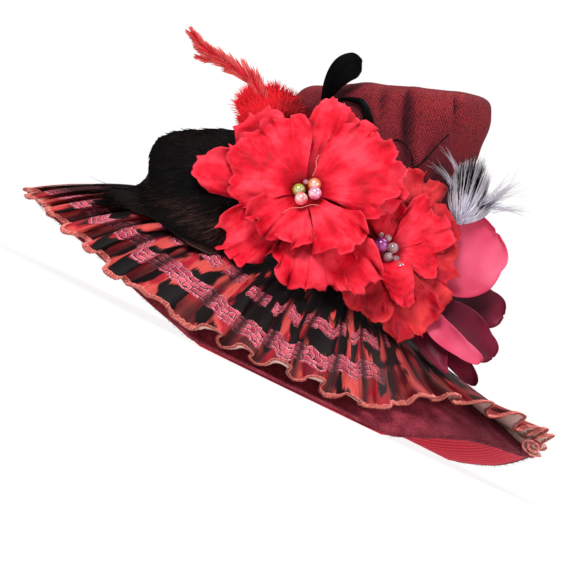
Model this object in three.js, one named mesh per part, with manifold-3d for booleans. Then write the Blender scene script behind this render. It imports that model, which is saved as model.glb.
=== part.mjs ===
// Floppy hat: a hollow cloth crown, a drooping felt brim with a ribbed lining below it and a pleated
// ruffle above it, and a bunch of silk flowers, beads and feathers on its near side.
// Units are millimetres. +Z is up, -X is the front of the hat, and the flowers are on the -Y side.
// The hat rests on the plane z = 0, with its brim flattened a little where it touches.

import * as THREE from "three";
import { mergeVertices } from "three/addons/utils/BufferGeometryUtils.js";
import Module from "manifold-3d";

const wasm = await Module();
wasm.setup();

// Wall thicknesses and the gap between pieces that touch
const CROWN_WALL = 2;
const FELT_WALL = 2.2;
const LINING_WALL = 1.2;
const RUFFLE_WALL = 1.1;
const PETAL_WALL = 1.2;
const GAP = 0.3;

// The seam between crown and brim is an ellipse that dips to the back
const SEAM_CENTRE = 5;
const SEAM_HALF_LENGTH = 99;
const SEAM_HALF_WIDTH = 84;
const SEAM_HEIGHT = 78;
const SEAM_DIP = 12;
const SEAM_ROUND = 0.08;

// The felt brim in plan, its lining, and the ruffle's pleats
const BRIM_HALF_LENGTH = 211.5;
const BRIM_HALF_WIDTH = 176;
const RING_COLUMNS = 48;
const PLEATS = 42;
const PLEAT_HEIGHT = 8;
const PLEAT_ROOT = 1;
const PLEAT_SWELL = 1.2;
const CREST_CUT = 1.5;
const LIFT_START = 0.4;
const HEM_WOBBLE = 2;
const RUFFLE_START = 0.04;
const RUFFLE_GAP = 1.6;
const FELT_SHARES = [0, 0.28, 0.54, 0.76, 0.93, 1];
const RUFFLE_SHARES = [0, 0.3, 0.6, 0.85, 1];

// The trim lies along a plane that leans this far from level
const TRIM_LEAN = THREE.MathUtils.degToRad(26);
const CUP_ROUND = 25;
const STALK_RADIUS = 6;
const HUB_RADIUS = 11;
const PETAL_FOOT = 3.5;
const PETAL_END = 0.95;
const PETAL_NOTCH = 0.4;
const PETAL_SQUARENESS = 2.4;
const PAD_FRONT_SHARE = 0.7;

const FELT_REST = LINING_WALL + GAP + FELT_WALL;
const TAU = 2 * Math.PI;

const PAINT = {
  crown: { color: 0x7a1a22, roughness: 0.85 },
  felt: { color: 0x5c101c, roughness: 0.95 },
  lining: { color: 0xa11c24, roughness: 0.8 },
  ruffle: { color: 0x9c3a34, roughness: 0.6 },
  silk: { color: 0xd3141f, roughness: 0.6 },
  pinkSatin: { color: 0xd8385a, roughness: 0.45 },
  wineSatin: { color: 0x5a0f24, roughness: 0.45 },
  blackFeather: { color: 0x120c0c, roughness: 0.5 },
  redFeather: { color: 0xc81822, roughness: 0.8 },
  greyFeather: { color: 0x9a9aa4, roughness: 0.8 },
  pearl: { color: 0xb06a90, roughness: 0.15 },
};

// One row for each 22.5 degrees round the brim, from the back by way of the far side.
// edge: height of the felt's top face at its edge. bend: 1 is a straight slope, more droops late.
// hem: how far the ruffle passes the felt's edge. lift: how far its hem stands off the felt.
const BRIM_ROWS = [
  { angle: 0, edge: 33, bend: 1, hem: 1, lift: 5 },
  { angle: 22.5, edge: 13, bend: 1.05, hem: 0, lift: 1 },
  { angle: 45, edge: -3, bend: 1.1, hem: -2, lift: 0 },
  { angle: 67.5, edge: -9, bend: 1.2, hem: -4, lift: 0 },
  { angle: 90, edge: -9, bend: 1.3, hem: -4, lift: 0 },
  { angle: 112.5, edge: 6, bend: 1.5, hem: -2, lift: 0 },
  { angle: 135, edge: 27, bend: 1.8, hem: 2, lift: 0 },
  { angle: 157.5, edge: 38, bend: 2, hem: 2, lift: 0 },
  { angle: 180, edge: 44, bend: 2.1, hem: 2, lift: 0 },
  { angle: 202.5, edge: 38, bend: 1.9, hem: 4, lift: 0 },
  { angle: 225, edge: 28, bend: 1.7, hem: 6, lift: 0 },
  { angle: 247.5, edge: 9, bend: 1.4, hem: 5, lift: 0 },
  { angle: 270, edge: -9, bend: 1.3, hem: 1, lift: 0 },
  { angle: 292.5, edge: -1, bend: 1.15, hem: -13, lift: 2 },
  { angle: 315, edge: 24, bend: 1.05, hem: -22, lift: 10 },
  { angle: 337.5, edge: 31, bend: 1, hem: -12, lift: 9 },
];

// The crown's outer face as rings from the seam to the top; front and back are the ring's heights there
const CROWN_ROWS = [
  { centre: 5, halfLength: 98.3, halfWidth: 83.3, front: 85, back: 61 },
  { centre: 5, halfLength: 98.3, halfWidth: 83.3, front: 91, back: 67 },
  { centre: 3, halfLength: 93, halfWidth: 79, front: 125, back: 112 },
  { centre: 1, halfLength: 85, halfWidth: 73, front: 160, back: 165 },
  { centre: -1, halfLength: 77, halfWidth: 66, front: 188, back: 212 },
  { centre: -1, halfLength: 74, halfWidth: 62, front: 202, back: 246 },
  { centre: -1, halfLength: 67, halfWidth: 55, front: 211, back: 262 },
  { centre: 0, halfLength: 52, halfWidth: 42, front: 220, back: 262 },
  { centre: 4, halfLength: 26, halfWidth: 21, front: 234, back: 254 },
];
const CROWN_TOP = { x: 4, z: 246 };

// Folds that run up the crown's side: where, how deep, how wide in degrees, and between which heights
const CROWN_FOLDS = [
  { angle: 258, depth: 3.5, width: 7, low: 190, high: 250 },
  { angle: 283, depth: 4.5, width: 8, low: 180, high: 258 },
  { angle: 312, depth: 3, width: 9, low: 150, high: 262 },
  { angle: 20, depth: 3, width: 10, low: 110, high: 250 },
  { angle: 75, depth: 4, width: 9, low: 120, high: 240 },
  { angle: 125, depth: 3, width: 10, low: 110, high: 220 },
  { angle: 195, depth: 3, width: 9, low: 110, high: 200 },
];
const FOLD_FADE = 25;

// The silk flowers. A place is along, up and out in the trim's plane. Tilt leans the face upwards and
// turn brings it round to the back of the hat. A petal has its angle, its reach and its width in
// degrees, and a layer's step is how far forward of the flower's centre it starts.
const FLOWER_A = {
  name: "flower_a",
  along: 29,
  up: 132,
  out: 92,
  tilt: 12,
  turn: 0,
  cup: 18,
  outer: {
    step: 0,
    rings: 3,
    columns: 36,
    ripples: 12,
    rippleHeight: -3,
    fall: 6,
    petals: [
      { angle: 8, reach: 64, width: 44 },
      { angle: 66, reach: 68, width: 42 },
      { angle: 124, reach: 75, width: 42 },
      { angle: 174, reach: 74, width: 30 },
      { angle: 232, reach: 66, width: 42 },
      { angle: 298, reach: 84, width: 42 },
    ],
  },
  inner: {
    step: PETAL_WALL + GAP,
    rings: 3,
    columns: 30,
    ripples: 9,
    rippleHeight: 8,
    fall: 0,
    petals: [
      { angle: 28, reach: 55, width: 40 },
      { angle: 110, reach: 52, width: 42 },
      { angle: 190, reach: 46, width: 42 },
      { angle: 250, reach: 50, width: 40 },
      { angle: 320, reach: 54, width: 40 },
    ],
  },
};

const FLOWER_B = {
  name: "flower_b",
  along: 89,
  up: 90,
  out: 80,
  tilt: 10,
  turn: 20,
  cup: 12,
  outer: {
    step: 0,
    rings: 3,
    columns: 36,
    ripples: 10,
    rippleHeight: -3,
    fall: 4,
    petals: [
      { angle: -30, reach: 60, width: 40 },
      { angle: 20, reach: 56, width: 36 },
      { angle: 62, reach: 70, width: 34 },
      { angle: 112, reach: 56, width: 40 },
      { angle: 180, reach: 40, width: 46 },
      { angle: 272, reach: 66, width: 40 },
    ],
  },
  inner: {
    step: PETAL_WALL + GAP,
    rings: 3,
    columns: 24,
    ripples: 8,
    rippleHeight: 6,
    fall: 0,
    petals: [
      { angle: 40, reach: 42, width: 44 },
      { angle: 130, reach: 34, width: 46 },
      { angle: 200, reach: 30, width: 44 },
      { angle: 268, reach: 42, width: 38 },
      { angle: 330, reach: 40, width: 40 },
    ],
  },
};

// Beads in the flowers' middles, from the flower's centre; lift is how far a bead stands on the others
const BEADS_A = [
  { right: -4.5, up: -0.4, radius: 5.2, lift: 0 },
  { right: 6.5, up: 3.5, radius: 5.2, lift: 0 },
  { right: 6.8, up: -4.9, radius: 5.2, lift: 5.6 },
  { right: -3, up: -8.9, radius: 5.2, lift: 4.4 },
  { right: 0.4, up: 4.2, radius: 2, lift: 9.8 },
];
const BEADS_B = [
  { right: -9.9, up: 2.2, radius: 6, lift: 0 },
  { right: -8.2, up: 10.6, radius: 2.2, lift: 0 },
  { right: -2.9, up: 8.6, radius: 2.8, lift: 0 },
  { right: 1.6, up: 1.8, radius: 4.4, lift: 0 },
  { right: -3.1, up: -5.4, radius: 3.7, lift: 0 },
  { right: 3.8, up: -6.2, radius: 2.9, lift: 0 },
  { right: 5.2, up: -13.4, radius: 4, lift: 0 },
];

// The satin flower: a round hub, and petals that leave it towards a middle and a tip
const SATIN_HUB = { along: 118, up: 59, out: 64 };
const SATIN_PETALS = [
  { middle: [146, 87, 62], tip: [172, 106, 58], width: 62, blunt: 0.55, cup: 6, paint: "pinkSatin" },
  { middle: [148, 55, 52], tip: [178, 44, 50], width: 36, blunt: 0.7, cup: 3, paint: "wineSatin" },
  { middle: [128, 33, 85], tip: [157, 10, 88], width: 17, blunt: 0.9, cup: 3, paint: "pinkSatin" },
  { middle: [146, 35, 72], tip: [167, 13, 77], width: 30, blunt: 0.8, cup: 3, paint: "wineSatin" },
  { middle: [121, 22, 79], tip: [126, -5, 88], width: 23, blunt: 0.8, cup: 2, paint: "wineSatin" },
  { middle: [134, 21, 63], tip: [152, -11, 69], width: 26, blunt: 0.8, cup: 2, paint: "wineSatin" },
];

// The black feather pad as slices across its length, each from a top to a bottom
const PAD_SLICES = [
  { along: -97, top: 140, bottom: 131, outTop: 70, outBottom: 80, thick: 3 },
  { along: -91, top: 155, bottom: 114, outTop: 62, outBottom: 97, thick: 6 },
  { along: -83, top: 168, bottom: 98, outTop: 60, outBottom: 108, thick: 8 },
  { along: -72, top: 175, bottom: 87, outTop: 60, outBottom: 118, thick: 9 },
  { along: -58, top: 180, bottom: 81, outTop: 60, outBottom: 124, thick: 9 },
  { along: -44, top: 182, bottom: 77, outTop: 60, outBottom: 125, thick: 8 },
  { along: -33, top: 183, bottom: 84, outTop: 60, outBottom: 118, thick: 8 },
  { along: -22, top: 182, bottom: 98, outTop: 58, outBottom: 102, thick: 7 },
  { along: -10, top: 178, bottom: 130, outTop: 56, outBottom: 84, thick: 5 },
];

// The red fluff pad, in slices as the black one
const HACKLE_SLICES = [
  { along: -19, top: 198, bottom: 188, outTop: 62, outBottom: 64, thick: 4 },
  { along: -8, top: 207, bottom: 185, outTop: 58, outBottom: 62, thick: 8 },
  { along: 4, top: 211, bottom: 184, outTop: 54, outBottom: 60, thick: 9 },
  { along: 15, top: 210, bottom: 184, outTop: 49, outBottom: 56, thick: 8 },
  { along: 28, top: 204, bottom: 187, outTop: 43, outBottom: 50, thick: 5 },
];

// Single feathers as flat straps from foot to tip; thick is across the strap's face
const STRAPS = [
  {
    name: "red_plume",
    paint: "redFeather",
    rows: [
      { along: -9, up: 206.6, out: 59, width: 9, thick: 4 },
      { along: -14, up: 219, out: 60, width: 10, thick: 4 },
      { along: -25, up: 228, out: 61, width: 10, thick: 3 },
      { along: -39, up: 238, out: 61, width: 8, thick: 2.5 },
      { along: -53, up: 252, out: 61, width: 3, thick: 1.5 },
    ],
  },
  {
    name: "black_quill_1",
    paint: "blackFeather",
    rows: [
      { along: 45.5, up: 198, out: 55.6, width: 8, thick: 2 },
      { along: 47.5, up: 210, out: 58, width: 10, thick: 2 },
      { along: 53, up: 221.5, out: 61, width: 16, thick: 2 },
      { along: 61, up: 228.5, out: 61, width: 18, thick: 2 },
      { along: 71, up: 230, out: 60, width: 9, thick: 2 },
    ],
  },
  {
    name: "black_quill_2",
    paint: "blackFeather",
    rows: [
      { along: 55, up: 202, out: 56.9, width: 5, thick: 2 },
      { along: 63, up: 205, out: 61, width: 5, thick: 2 },
      { along: 72, up: 202, out: 65, width: 7, thick: 2 },
      { along: 78, up: 192, out: 68, width: 9, thick: 2 },
      { along: 82, up: 178, out: 70, width: 9, thick: 2 },
      { along: 85, up: 166, out: 70.5, width: 6, thick: 2 },
    ],
  },
  {
    name: "grey_marabou",
    paint: "greyFeather",
    rows: [
      { along: 136, up: 107, out: 43.4, width: 9, thick: 5 },
      { along: 147, up: 116, out: 48, width: 14, thick: 8 },
      { along: 149, up: 127, out: 50, width: 20, thick: 9 },
      { along: 151, up: 139, out: 52, width: 26, thick: 9 },
      { along: 153, up: 150, out: 52, width: 26, thick: 7 },
      { along: 155, up: 160, out: 52, width: 18, thick: 4 },
    ],
  },
];

function vec(x, y, z) {
  return new THREE.Vector3(x, y, z);
}

function lerp(a, b, share) {
  return a + (b - a) * share;
}

// A smooth curve through four even values, at a share of the way from the second to the third
function throughFour(a, b, c, d, share) {
  const slopeIn = (c - a) / 2;
  const slopeOut = (d - b) / 2;
  const rise = c - b;
  const square = share * share;
  const cube = square * share;
  const cubeFactor = slopeIn + slopeOut - 2 * rise;
  const squareFactor = 3 * rise - 2 * slopeIn - slopeOut;
  return b + slopeIn * share + squareFactor * square + cubeFactor * cube;
}

// A column of the brim's table at any angle, in radians
function brimValue(column, angle) {
  const count = BRIM_ROWS.length;
  const place = (((angle / TAU) % 1) + 1) * count;
  const row = Math.floor(place);
  const pick = (step) => BRIM_ROWS[(row + step + count) % count][column];
  return throughFour(pick(-1), pick(0), pick(1), pick(2), place - row);
}

// A column of an open table at a share from its first row to its last
function rowValue(rows, column, share) {
  const last = rows.length - 1;
  const place = Math.min(Math.max(share, 0), 1) * last;
  const row = Math.min(Math.floor(place), last - 1);
  const pick = (index) => rows[Math.min(Math.max(index, 0), last)][column];
  return throughFour(pick(row - 1), pick(row), pick(row + 1), pick(row + 2), place - row);
}

// The unit normal of a surface at (u, v), by small steps
function normalAt(surface, u, v) {
  const step = 1e-4;
  const alongU = surface(u + step, v).sub(surface(u - step, v));
  const alongV = surface(u, v + step).sub(surface(u, v - step));
  return alongU.cross(alongV).normalize();
}

// A geometry with shared vertices whose faces point outwards
function closedGeometry(points, triangles) {
  let volume = 0;
  for (let i = 0; i < triangles.length; i += 3) {
    const [p, q, r] = triangles.slice(i, i + 3).map((index) => points[index]);
    volume += p.dot(q.clone().cross(r));
  }
  if (volume < 0) triangles.reverse();
  const geometry = new THREE.BufferGeometry().setFromPoints(points);
  geometry.setIndex(triangles);
  return mergeVertices(geometry, 1e-3);
}

// A closed mesh between two faces, each a list of rows. A ring's rows close on themselves, and a row of
// one point is the middle of a fan.
function wallBetween(faceA, faceB, isRing) {
  const points = [...faceA.flat(), ...faceB.flat()];
  const triangles = [];
  const numbers = new Map(points.map((point, index) => [point, index]));
  const numbered = (face) => face.map((row) => row.map((point) => numbers.get(point)));
  const a = numbered(faceA);
  const b = numbered(faceB);
  const tile = (p, q, r, s) => triangles.push(p, q, r, p, r, s);
  const cover = (rows, isBack) => {
    for (let i = 0; i + 1 < rows.length; i++) {
      const low = rows[i];
      const high = rows[i + 1];
      const count = Math.max(low.length, high.length);
      const cells = isRing ? count : count - 1;
      for (let j = 0; j < cells; j++) {
        const next = (j + 1) % count;
        const first = [low[j % low.length], low[next % low.length], high[next % high.length]];
        const second = [low[j % low.length], high[next % high.length], high[j % high.length]];
        if (isBack) {
          first.reverse();
          second.reverse();
        }
        if (low.length > 1) triangles.push(...first);
        if (high.length > 1) triangles.push(...second);
      }
    }
  };
  cover(a, false);
  cover(b, true);
  const rim = (rowA, rowB, isFirst) => {
    if (rowA.length === 1) return;
    const cells = isRing ? rowA.length : rowA.length - 1;
    for (let j = 0; j < cells; j++) {
      const next = (j + 1) % rowA.length;
      if (isFirst) tile(rowA[next], rowA[j], rowB[j], rowB[next]);
      else tile(rowA[j], rowA[next], rowB[next], rowB[j]);
    }
  };
  rim(a[0], b[0], true);
  rim(a[a.length - 1], b[b.length - 1], false);
  if (!isRing) {
    for (let i = 0; i + 1 < a.length; i++) {
      const end = a[i].length - 1;
      tile(a[i][0], a[i + 1][0], b[i + 1][0], b[i][0]);
      tile(a[i + 1][end], a[i][end], b[i][end], b[i + 1][end]);
    }
  }
  return closedGeometry(points, triangles);
}

// A closed mesh through rings of points, with a fan over each end
function loft(rings) {
  const middleOf = (ring) => {
    const middle = vec(0, 0, 0);
    for (const point of ring) middle.addScaledVector(point, 1 / ring.length);
    return middle;
  };
  const points = [...rings.flat(), middleOf(rings[0]), middleOf(rings[rings.length - 1])];
  const count = rings[0].length;
  const firstMiddle = points.length - 2;
  const lastMiddle = points.length - 1;
  const lastRing = (rings.length - 1) * count;
  const triangles = [];
  for (let j = 0; j < count; j++) {
    const next = (j + 1) % count;
    for (let i = 0; i + 1 < rings.length; i++) {
      const low = i * count;
      const high = low + count;
      triangles.push(low + j, low + next, high + next, low + j, high + next, high + j);
    }
    triangles.push(firstMiddle, next, j);
    triangles.push(lastMiddle, lastRing + j, lastRing + next);
  }
  return closedGeometry(points, triangles);
}

// One solid from several closed geometries
function joined(geometries) {
  const solids = geometries.map((geometry) => {
    const bare = new THREE.BufferGeometry();
    bare.setAttribute("position", geometry.getAttribute("position"));
    bare.setIndex(geometry.getIndex());
    const merged = mergeVertices(bare, 1e-3);
    return new wasm.Manifold(
      new wasm.Mesh({
        numProp: 3,
        vertProperties: merged.attributes.position.array,
        triVerts: new Uint32Array(merged.index.array),
      }),
    );
  });
  const whole = solids.reduce((sum, solid) => sum.add(solid)).getMesh();
  const geometry = new THREE.BufferGeometry();
  geometry.setAttribute("position", new THREE.BufferAttribute(whole.vertProperties, 3));
  geometry.setIndex(new THREE.BufferAttribute(whole.triVerts, 1));
  return geometry;
}

function piece(name, geometry, paint) {
  const mesh = new THREE.Mesh(geometry, new THREE.MeshStandardMaterial({ ...paint, metalness: 0 }));
  mesh.name = name;
  return mesh;
}

// The brim's ellipse at t: 0 at the seam, 1 at the felt's edge
function brimOval(t) {
  return {
    centre: lerp(SEAM_CENTRE, 0, t),
    halfLength: lerp(SEAM_HALF_LENGTH, BRIM_HALF_LENGTH, t),
    halfWidth: lerp(SEAM_HALF_WIDTH, BRIM_HALF_WIDTH, t),
  };
}

// The felt's top face before it is flattened
function brimSurface(angle, t) {
  const seamHeight = SEAM_HEIGHT - SEAM_DIP * Math.cos(angle);
  const slope = Math.pow(Math.max(t, 0), brimValue("bend", angle));
  const height = seamHeight - (seamHeight - brimValue("edge", angle)) * slope;
  const oval = brimOval(t);
  return vec(oval.centre + oval.halfLength * Math.cos(angle), oval.halfWidth * Math.sin(angle), height);
}

function brimNormal(angle, t) {
  const normal = normalAt(brimSurface, angle, Math.max(t, 0.01));
  return normal.z < 0 ? normal.negate() : normal;
}

// A point at a rise over the felt's top face. It stays over the floor, and over the seam its normal
// turns upright so that the brim's inner edge stands clear of the crown.
function brimPoint(angle, t, rise) {
  const point = brimSurface(angle, t);
  const normal = brimNormal(angle, t);
  const sideways = Math.min(Math.max(t / SEAM_ROUND, 0), 1) * rise;
  point.x += normal.x * sideways;
  point.y += normal.y * sideways;
  point.z = Math.max(point.z + normal.z * rise, FELT_REST + rise);
  return point;
}

// A layer of the brim between two rises, from a start to an end across its width, with its rows at shares
function brimLayer({ columns, shares, start, end, lowRise, highRise }) {
  const faces = [highRise, lowRise].map((rise) =>
    shares.map((share) => {
      const row = [];
      for (let j = 0; j < columns; j++) {
        const angle = (TAU * j) / columns;
        const t = lerp(start, end(angle), share);
        row.push(brimPoint(angle, t, rise(angle, t)));
      }
      return row;
    }),
  );
  return wallBetween(faces[0], faces[1], true);
}

function makeBrim() {
  const felt = brimLayer({
    columns: RING_COLUMNS,
    shares: FELT_SHARES,
    start: 0,
    end: () => 1,
    lowRise: () => -FELT_WALL,
    highRise: () => 0,
  });
  return piece("brim", felt, PAINT.felt);
}

function makeLining() {
  const lining = brimLayer({
    columns: RING_COLUMNS,
    shares: FELT_SHARES,
    start: 0,
    end: () => 1,
    lowRise: () => -FELT_WALL - GAP - LINING_WALL,
    highRise: () => -FELT_WALL - GAP,
  });
  return piece("brim_lining", lining, PAINT.lining);
}

// How high a pleat of the ruffle stands over the felt; wave is 0 in a valley and 1 on a crest
function ruffleRise(angle, t, wave) {
  const pleat = wave * lerp(PLEAT_ROOT, PLEAT_HEIGHT, Math.pow(Math.max(t, 0), PLEAT_SWELL));
  const lifted = Math.max((t - LIFT_START) / (1 - LIFT_START), 0);
  const lift = brimValue("lift", angle) * lifted ** 2;
  return RUFFLE_GAP + pleat + Math.max(lift, 0);
}

function pleatWave(angle) {
  return Math.min((1 - Math.cos(PLEATS * angle)) / CREST_CUT, 1);
}

function makeRuffle() {
  const hem = (angle) => {
    const width = Math.hypot(
      (BRIM_HALF_LENGTH - SEAM_HALF_LENGTH) * Math.cos(angle),
      (BRIM_HALF_WIDTH - SEAM_HALF_WIDTH) * Math.sin(angle),
    );
    return 1 + (brimValue("hem", angle) - HEM_WOBBLE * Math.cos(PLEATS * angle)) / width;
  };
  const ruffle = brimLayer({
    columns: PLEATS * 3,
    shares: RUFFLE_SHARES,
    start: RUFFLE_START,
    end: hem,
    lowRise: (angle, t) => ruffleRise(angle, t, pleatWave(angle)),
    highRise: (angle, t) => ruffleRise(angle, t, pleatWave(angle)) + RUFFLE_WALL,
  });
  return piece("ruffle", ruffle, PAINT.ruffle);
}

// How deep the crown's folds are at an angle in degrees and a height
function foldDepth(degrees, height) {
  let depth = 0;
  for (const fold of CROWN_FOLDS) {
    const away = ((degrees - fold.angle + 540) % 360) - 180;
    const across = Math.exp(-Math.pow(away / fold.width, 2));
    const along = Math.min(height - fold.low, fold.high - height) / FOLD_FADE;
    depth += fold.depth * across * Math.min(Math.max(along, 0), 1);
  }
  return depth;
}

// The crown's outer face: u goes round, v from the seam to the top
function crownSurface(u, v) {
  const angle = TAU * u;
  const value = (column) => rowValue(CROWN_ROWS, column, v);
  const height = lerp(value("front"), value("back"), (1 + Math.cos(angle)) / 2);
  const dent = foldDepth(((u % 1) + 1) * 360, height);
  const x = value("centre") + (value("halfLength") - dent) * Math.cos(angle);
  return vec(x, (value("halfWidth") - dent) * Math.sin(angle), height);
}

function makeCrown() {
  const columns = RING_COLUMNS;
  const rows = 9;
  const outer = [];
  const inner = [];
  for (let i = 0; i <= rows; i++) {
    const outerRow = [];
    const innerRow = [];
    for (let j = 0; j < columns; j++) {
      const point = crownSurface(j / columns, i / rows);
      const steady = Math.min(Math.max(i / rows, 0.01), 0.98);
      const normal = normalAt(crownSurface, j / columns, steady);
      outerRow.push(point);
      innerRow.push(point.clone().addScaledVector(normal, -CROWN_WALL));
    }
    outer.push(outerRow);
    inner.push(innerRow);
  }
  outer.push([vec(CROWN_TOP.x, 0, CROWN_TOP.z)]);
  inner.push([vec(CROWN_TOP.x, 0, CROWN_TOP.z - CROWN_WALL)]);
  return piece("crown", wallBetween(outer, inner, true), PAINT.crown);
}

// A point of the trim: along and up in its leaning plane, and out towards the near side
function inBunch(along, up, out) {
  const x = along * Math.cos(TRIM_LEAN) - up * Math.sin(TRIM_LEAN);
  return vec(x, -out, along * Math.sin(TRIM_LEAN) + up * Math.cos(TRIM_LEAN));
}

// Places on the crown's near side
function crownPlaces() {
  const places = [];
  for (let i = 0; i <= 150; i++) {
    for (let j = 0; j <= 100; j++) {
      places.push(crownSurface(0.5 + i / 300, j / 100));
    }
  }
  return places;
}
const CROWN_PLACES = crownPlaces();

// How far out the crown's near side stands round a place in the side view
function crownOut(place, radius) {
  let out = 0;
  for (const spot of CROWN_PLACES) {
    const isNear = Math.abs(spot.x - place.x) < radius && Math.abs(spot.z - place.z) < radius;
    if (isNear) out = Math.max(out, -spot.y);
  }
  return out;
}

// The height that clears the ruffle's pleats over a place in plan
function ruffleTop(place) {
  const reach = (t) => {
    const oval = brimOval(t);
    return Math.hypot((place.x - oval.centre) / oval.halfLength, place.y / oval.halfWidth);
  };
  if (reach(0) < 1) return 0;
  let low = 0;
  let high = 1.2;
  for (let step = 0; step < 16; step++) {
    const middle = (low + high) / 2;
    if (reach(middle) > 1) low = middle;
    else high = middle;
  }
  const oval = brimOval(low);
  const angle = Math.atan2(place.y / oval.halfWidth, (place.x - oval.centre) / oval.halfLength);
  const rise = ruffleRise(angle, low, 1) + RUFFLE_WALL;
  return Math.max(brimSurface(angle, low).z, FELT_REST) + rise / brimNormal(angle, low).z;
}

// Raises points that would sink into the ruffle, all by the same amount
function rested(points) {
  let raise = 0;
  for (const point of points) {
    raise = Math.max(raise, ruffleTop(point) + GAP - point.z);
  }
  for (const point of points) point.z += raise;
  return points;
}

// A point right, up and forward of a flower's centre, in the flower's tilted and turned frame
function inFlower(flower, right, up, forward) {
  const tilt = THREE.MathUtils.degToRad(flower.tilt);
  const turn = THREE.MathUtils.degToRad(flower.turn);
  const along = right * Math.cos(turn) + forward * Math.sin(turn);
  const facing = forward * Math.cos(turn) - right * Math.sin(turn);
  const height = up * Math.cos(tilt) + facing * Math.sin(tilt);
  const out = facing * Math.cos(tilt) - up * Math.sin(tilt);
  return inBunch(flower.along + along, flower.up + height, flower.out + out);
}

// How far a layer of petals reaches at an angle in degrees
function petalReach(layer, degrees) {
  let reach = 0;
  for (const petal of layer.petals) {
    const away = Math.abs(((degrees - petal.angle + 540) % 360) - 180) / petal.width;
    reach = Math.max(reach, petal.reach * (1 - PETAL_NOTCH * Math.pow(away, PETAL_SQUARENESS)));
  }
  return reach;
}

// How far forward the cup's face stands at a distance from the flower's axis
function cupFace(flower, distance) {
  return flower.cup * (1 - Math.exp(-distance / CUP_ROUND));
}

// The front face of a layer at an angle and a distance from the flower's axis
function layerFace(flower, layer, degrees, distance) {
  const share = distance / petalReach(layer, degrees);
  const turns = layer.ripples * THREE.MathUtils.degToRad(degrees);
  const ripple = ((1 + Math.sin(turns)) / 2) * layer.rippleHeight * share;
  return cupFace(flower, distance) + layer.step + ripple - layer.fall * share ** 3;
}

// How far forward a bead's middle is when it rests in the inner layer
function beadSeat(flower, bead) {
  let seat = 0;
  for (let degrees = 0; degrees < 360; degrees += 15) {
    for (const share of [0, 0.3, 0.6, 0.8, 0.95]) {
      const radians = THREE.MathUtils.degToRad(degrees);
      const right = bead.right + bead.radius * share * Math.cos(radians);
      const up = bead.up + bead.radius * share * Math.sin(radians);
      const direction = (THREE.MathUtils.radToDeg(Math.atan2(up, right)) + 360) % 360;
      const face = layerFace(flower, flower.inner, direction, Math.hypot(right, up));
      seat = Math.max(seat, face + bead.radius * Math.sqrt(1 - share ** 2));
    }
  }
  return seat + GAP;
}

// One cut layer of a silk flower: petals round a cup, rippled and falling back at their ends
function petalLayer(flower, layer) {
  const front = [];
  const back = [];
  for (let i = 0; i <= layer.rings; i++) {
    const share = i / layer.rings;
    const columns = i === 0 ? 1 : layer.columns;
    const pairs = [];
    for (let j = 0; j < columns; j++) {
      const degrees = (360 * j) / columns;
      const radians = THREE.MathUtils.degToRad(degrees);
      const distance = petalReach(layer, degrees) * share;
      const forward = layerFace(flower, layer, degrees, distance);
      const right = distance * Math.cos(radians);
      const up = distance * Math.sin(radians);
      const faces = [forward, forward - PETAL_WALL];
      pairs.push(rested(faces.map((depth) => inFlower(flower, right, up, depth))));
    }
    front.push(pairs.map((pair) => pair[0]));
    back.push(pairs.map((pair) => pair[1]));
  }
  return wallBetween(front, back, true);
}

// The short stalk that carries a flower on the crown
function flowerStalk(flower) {
  const head = inFlower(flower, 0, 0, flower.outer.step - PETAL_WALL / 2);
  const length = -head.y - crownOut(head, STALK_RADIUS) - GAP;
  const stalk = new THREE.CylinderGeometry(STALK_RADIUS, STALK_RADIUS, length, 12);
  stalk.translate(head.x, head.y + length / 2, head.z);
  return stalk;
}

function makeFlower(flower, beads) {
  const group = new THREE.Group();
  const outer = joined([petalLayer(flower, flower.outer), flowerStalk(flower)]);
  group.add(piece(flower.name + "_outer", outer, PAINT.silk));
  group.add(piece(flower.name + "_inner", petalLayer(flower, flower.inner), PAINT.silk));
  const letter = flower.name.slice(-1);
  beads.forEach((bead, index) => {
    const seat = beadSeat(flower, bead);
    const ball = new THREE.SphereGeometry(bead.radius, 10, 7);
    const mesh = piece(`bead_${letter}_${index + 1}`, ball, PAINT.pearl);
    mesh.position.copy(inFlower(flower, bead.right, bead.up, seat + bead.lift));
    group.add(mesh);
  });
  return group;
}

// A satin petal from the hub through its middle to its tip, cupped across its width
function satinPetal(shape) {
  const hub = vec(SATIN_HUB.along, SATIN_HUB.up, SATIN_HUB.out);
  const middle = vec(...shape.middle);
  const tip = vec(...shape.tip);
  const foot = middle.clone().sub(hub).setLength(HUB_RADIUS + GAP).add(hub);
  const route = new THREE.CatmullRomCurve3([foot, middle, tip]);
  const rows = 6;
  const columns = 4;
  const front = [];
  const back = [];
  for (let i = 0; i <= rows; i++) {
    const share = i / rows;
    const spot = route.getPoint(share);
    const heading = route.getTangent(share);
    const side = vec(-heading.y, heading.x, 0).normalize();
    const swell = Math.pow(Math.sin(Math.PI * Math.min(share, PETAL_END)), shape.blunt);
    const halfWidth = lerp(PETAL_FOOT, shape.width, swell) / 2;
    const frontRow = [];
    const backRow = [];
    for (let j = 0; j <= columns; j++) {
      const across = (2 * j) / columns - 1;
      const place = spot.clone().addScaledVector(side, across * halfWidth);
      const bow = shape.cup * (1 - across * across) * swell;
      const pair = rested([
        inBunch(place.x, place.y, place.z - bow + PETAL_WALL),
        inBunch(place.x, place.y, place.z - bow),
      ]);
      frontRow.push(pair[0]);
      backRow.push(pair[1]);
    }
    front.push(frontRow);
    back.push(backRow);
  }
  return wallBetween(front, back, false);
}

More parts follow.
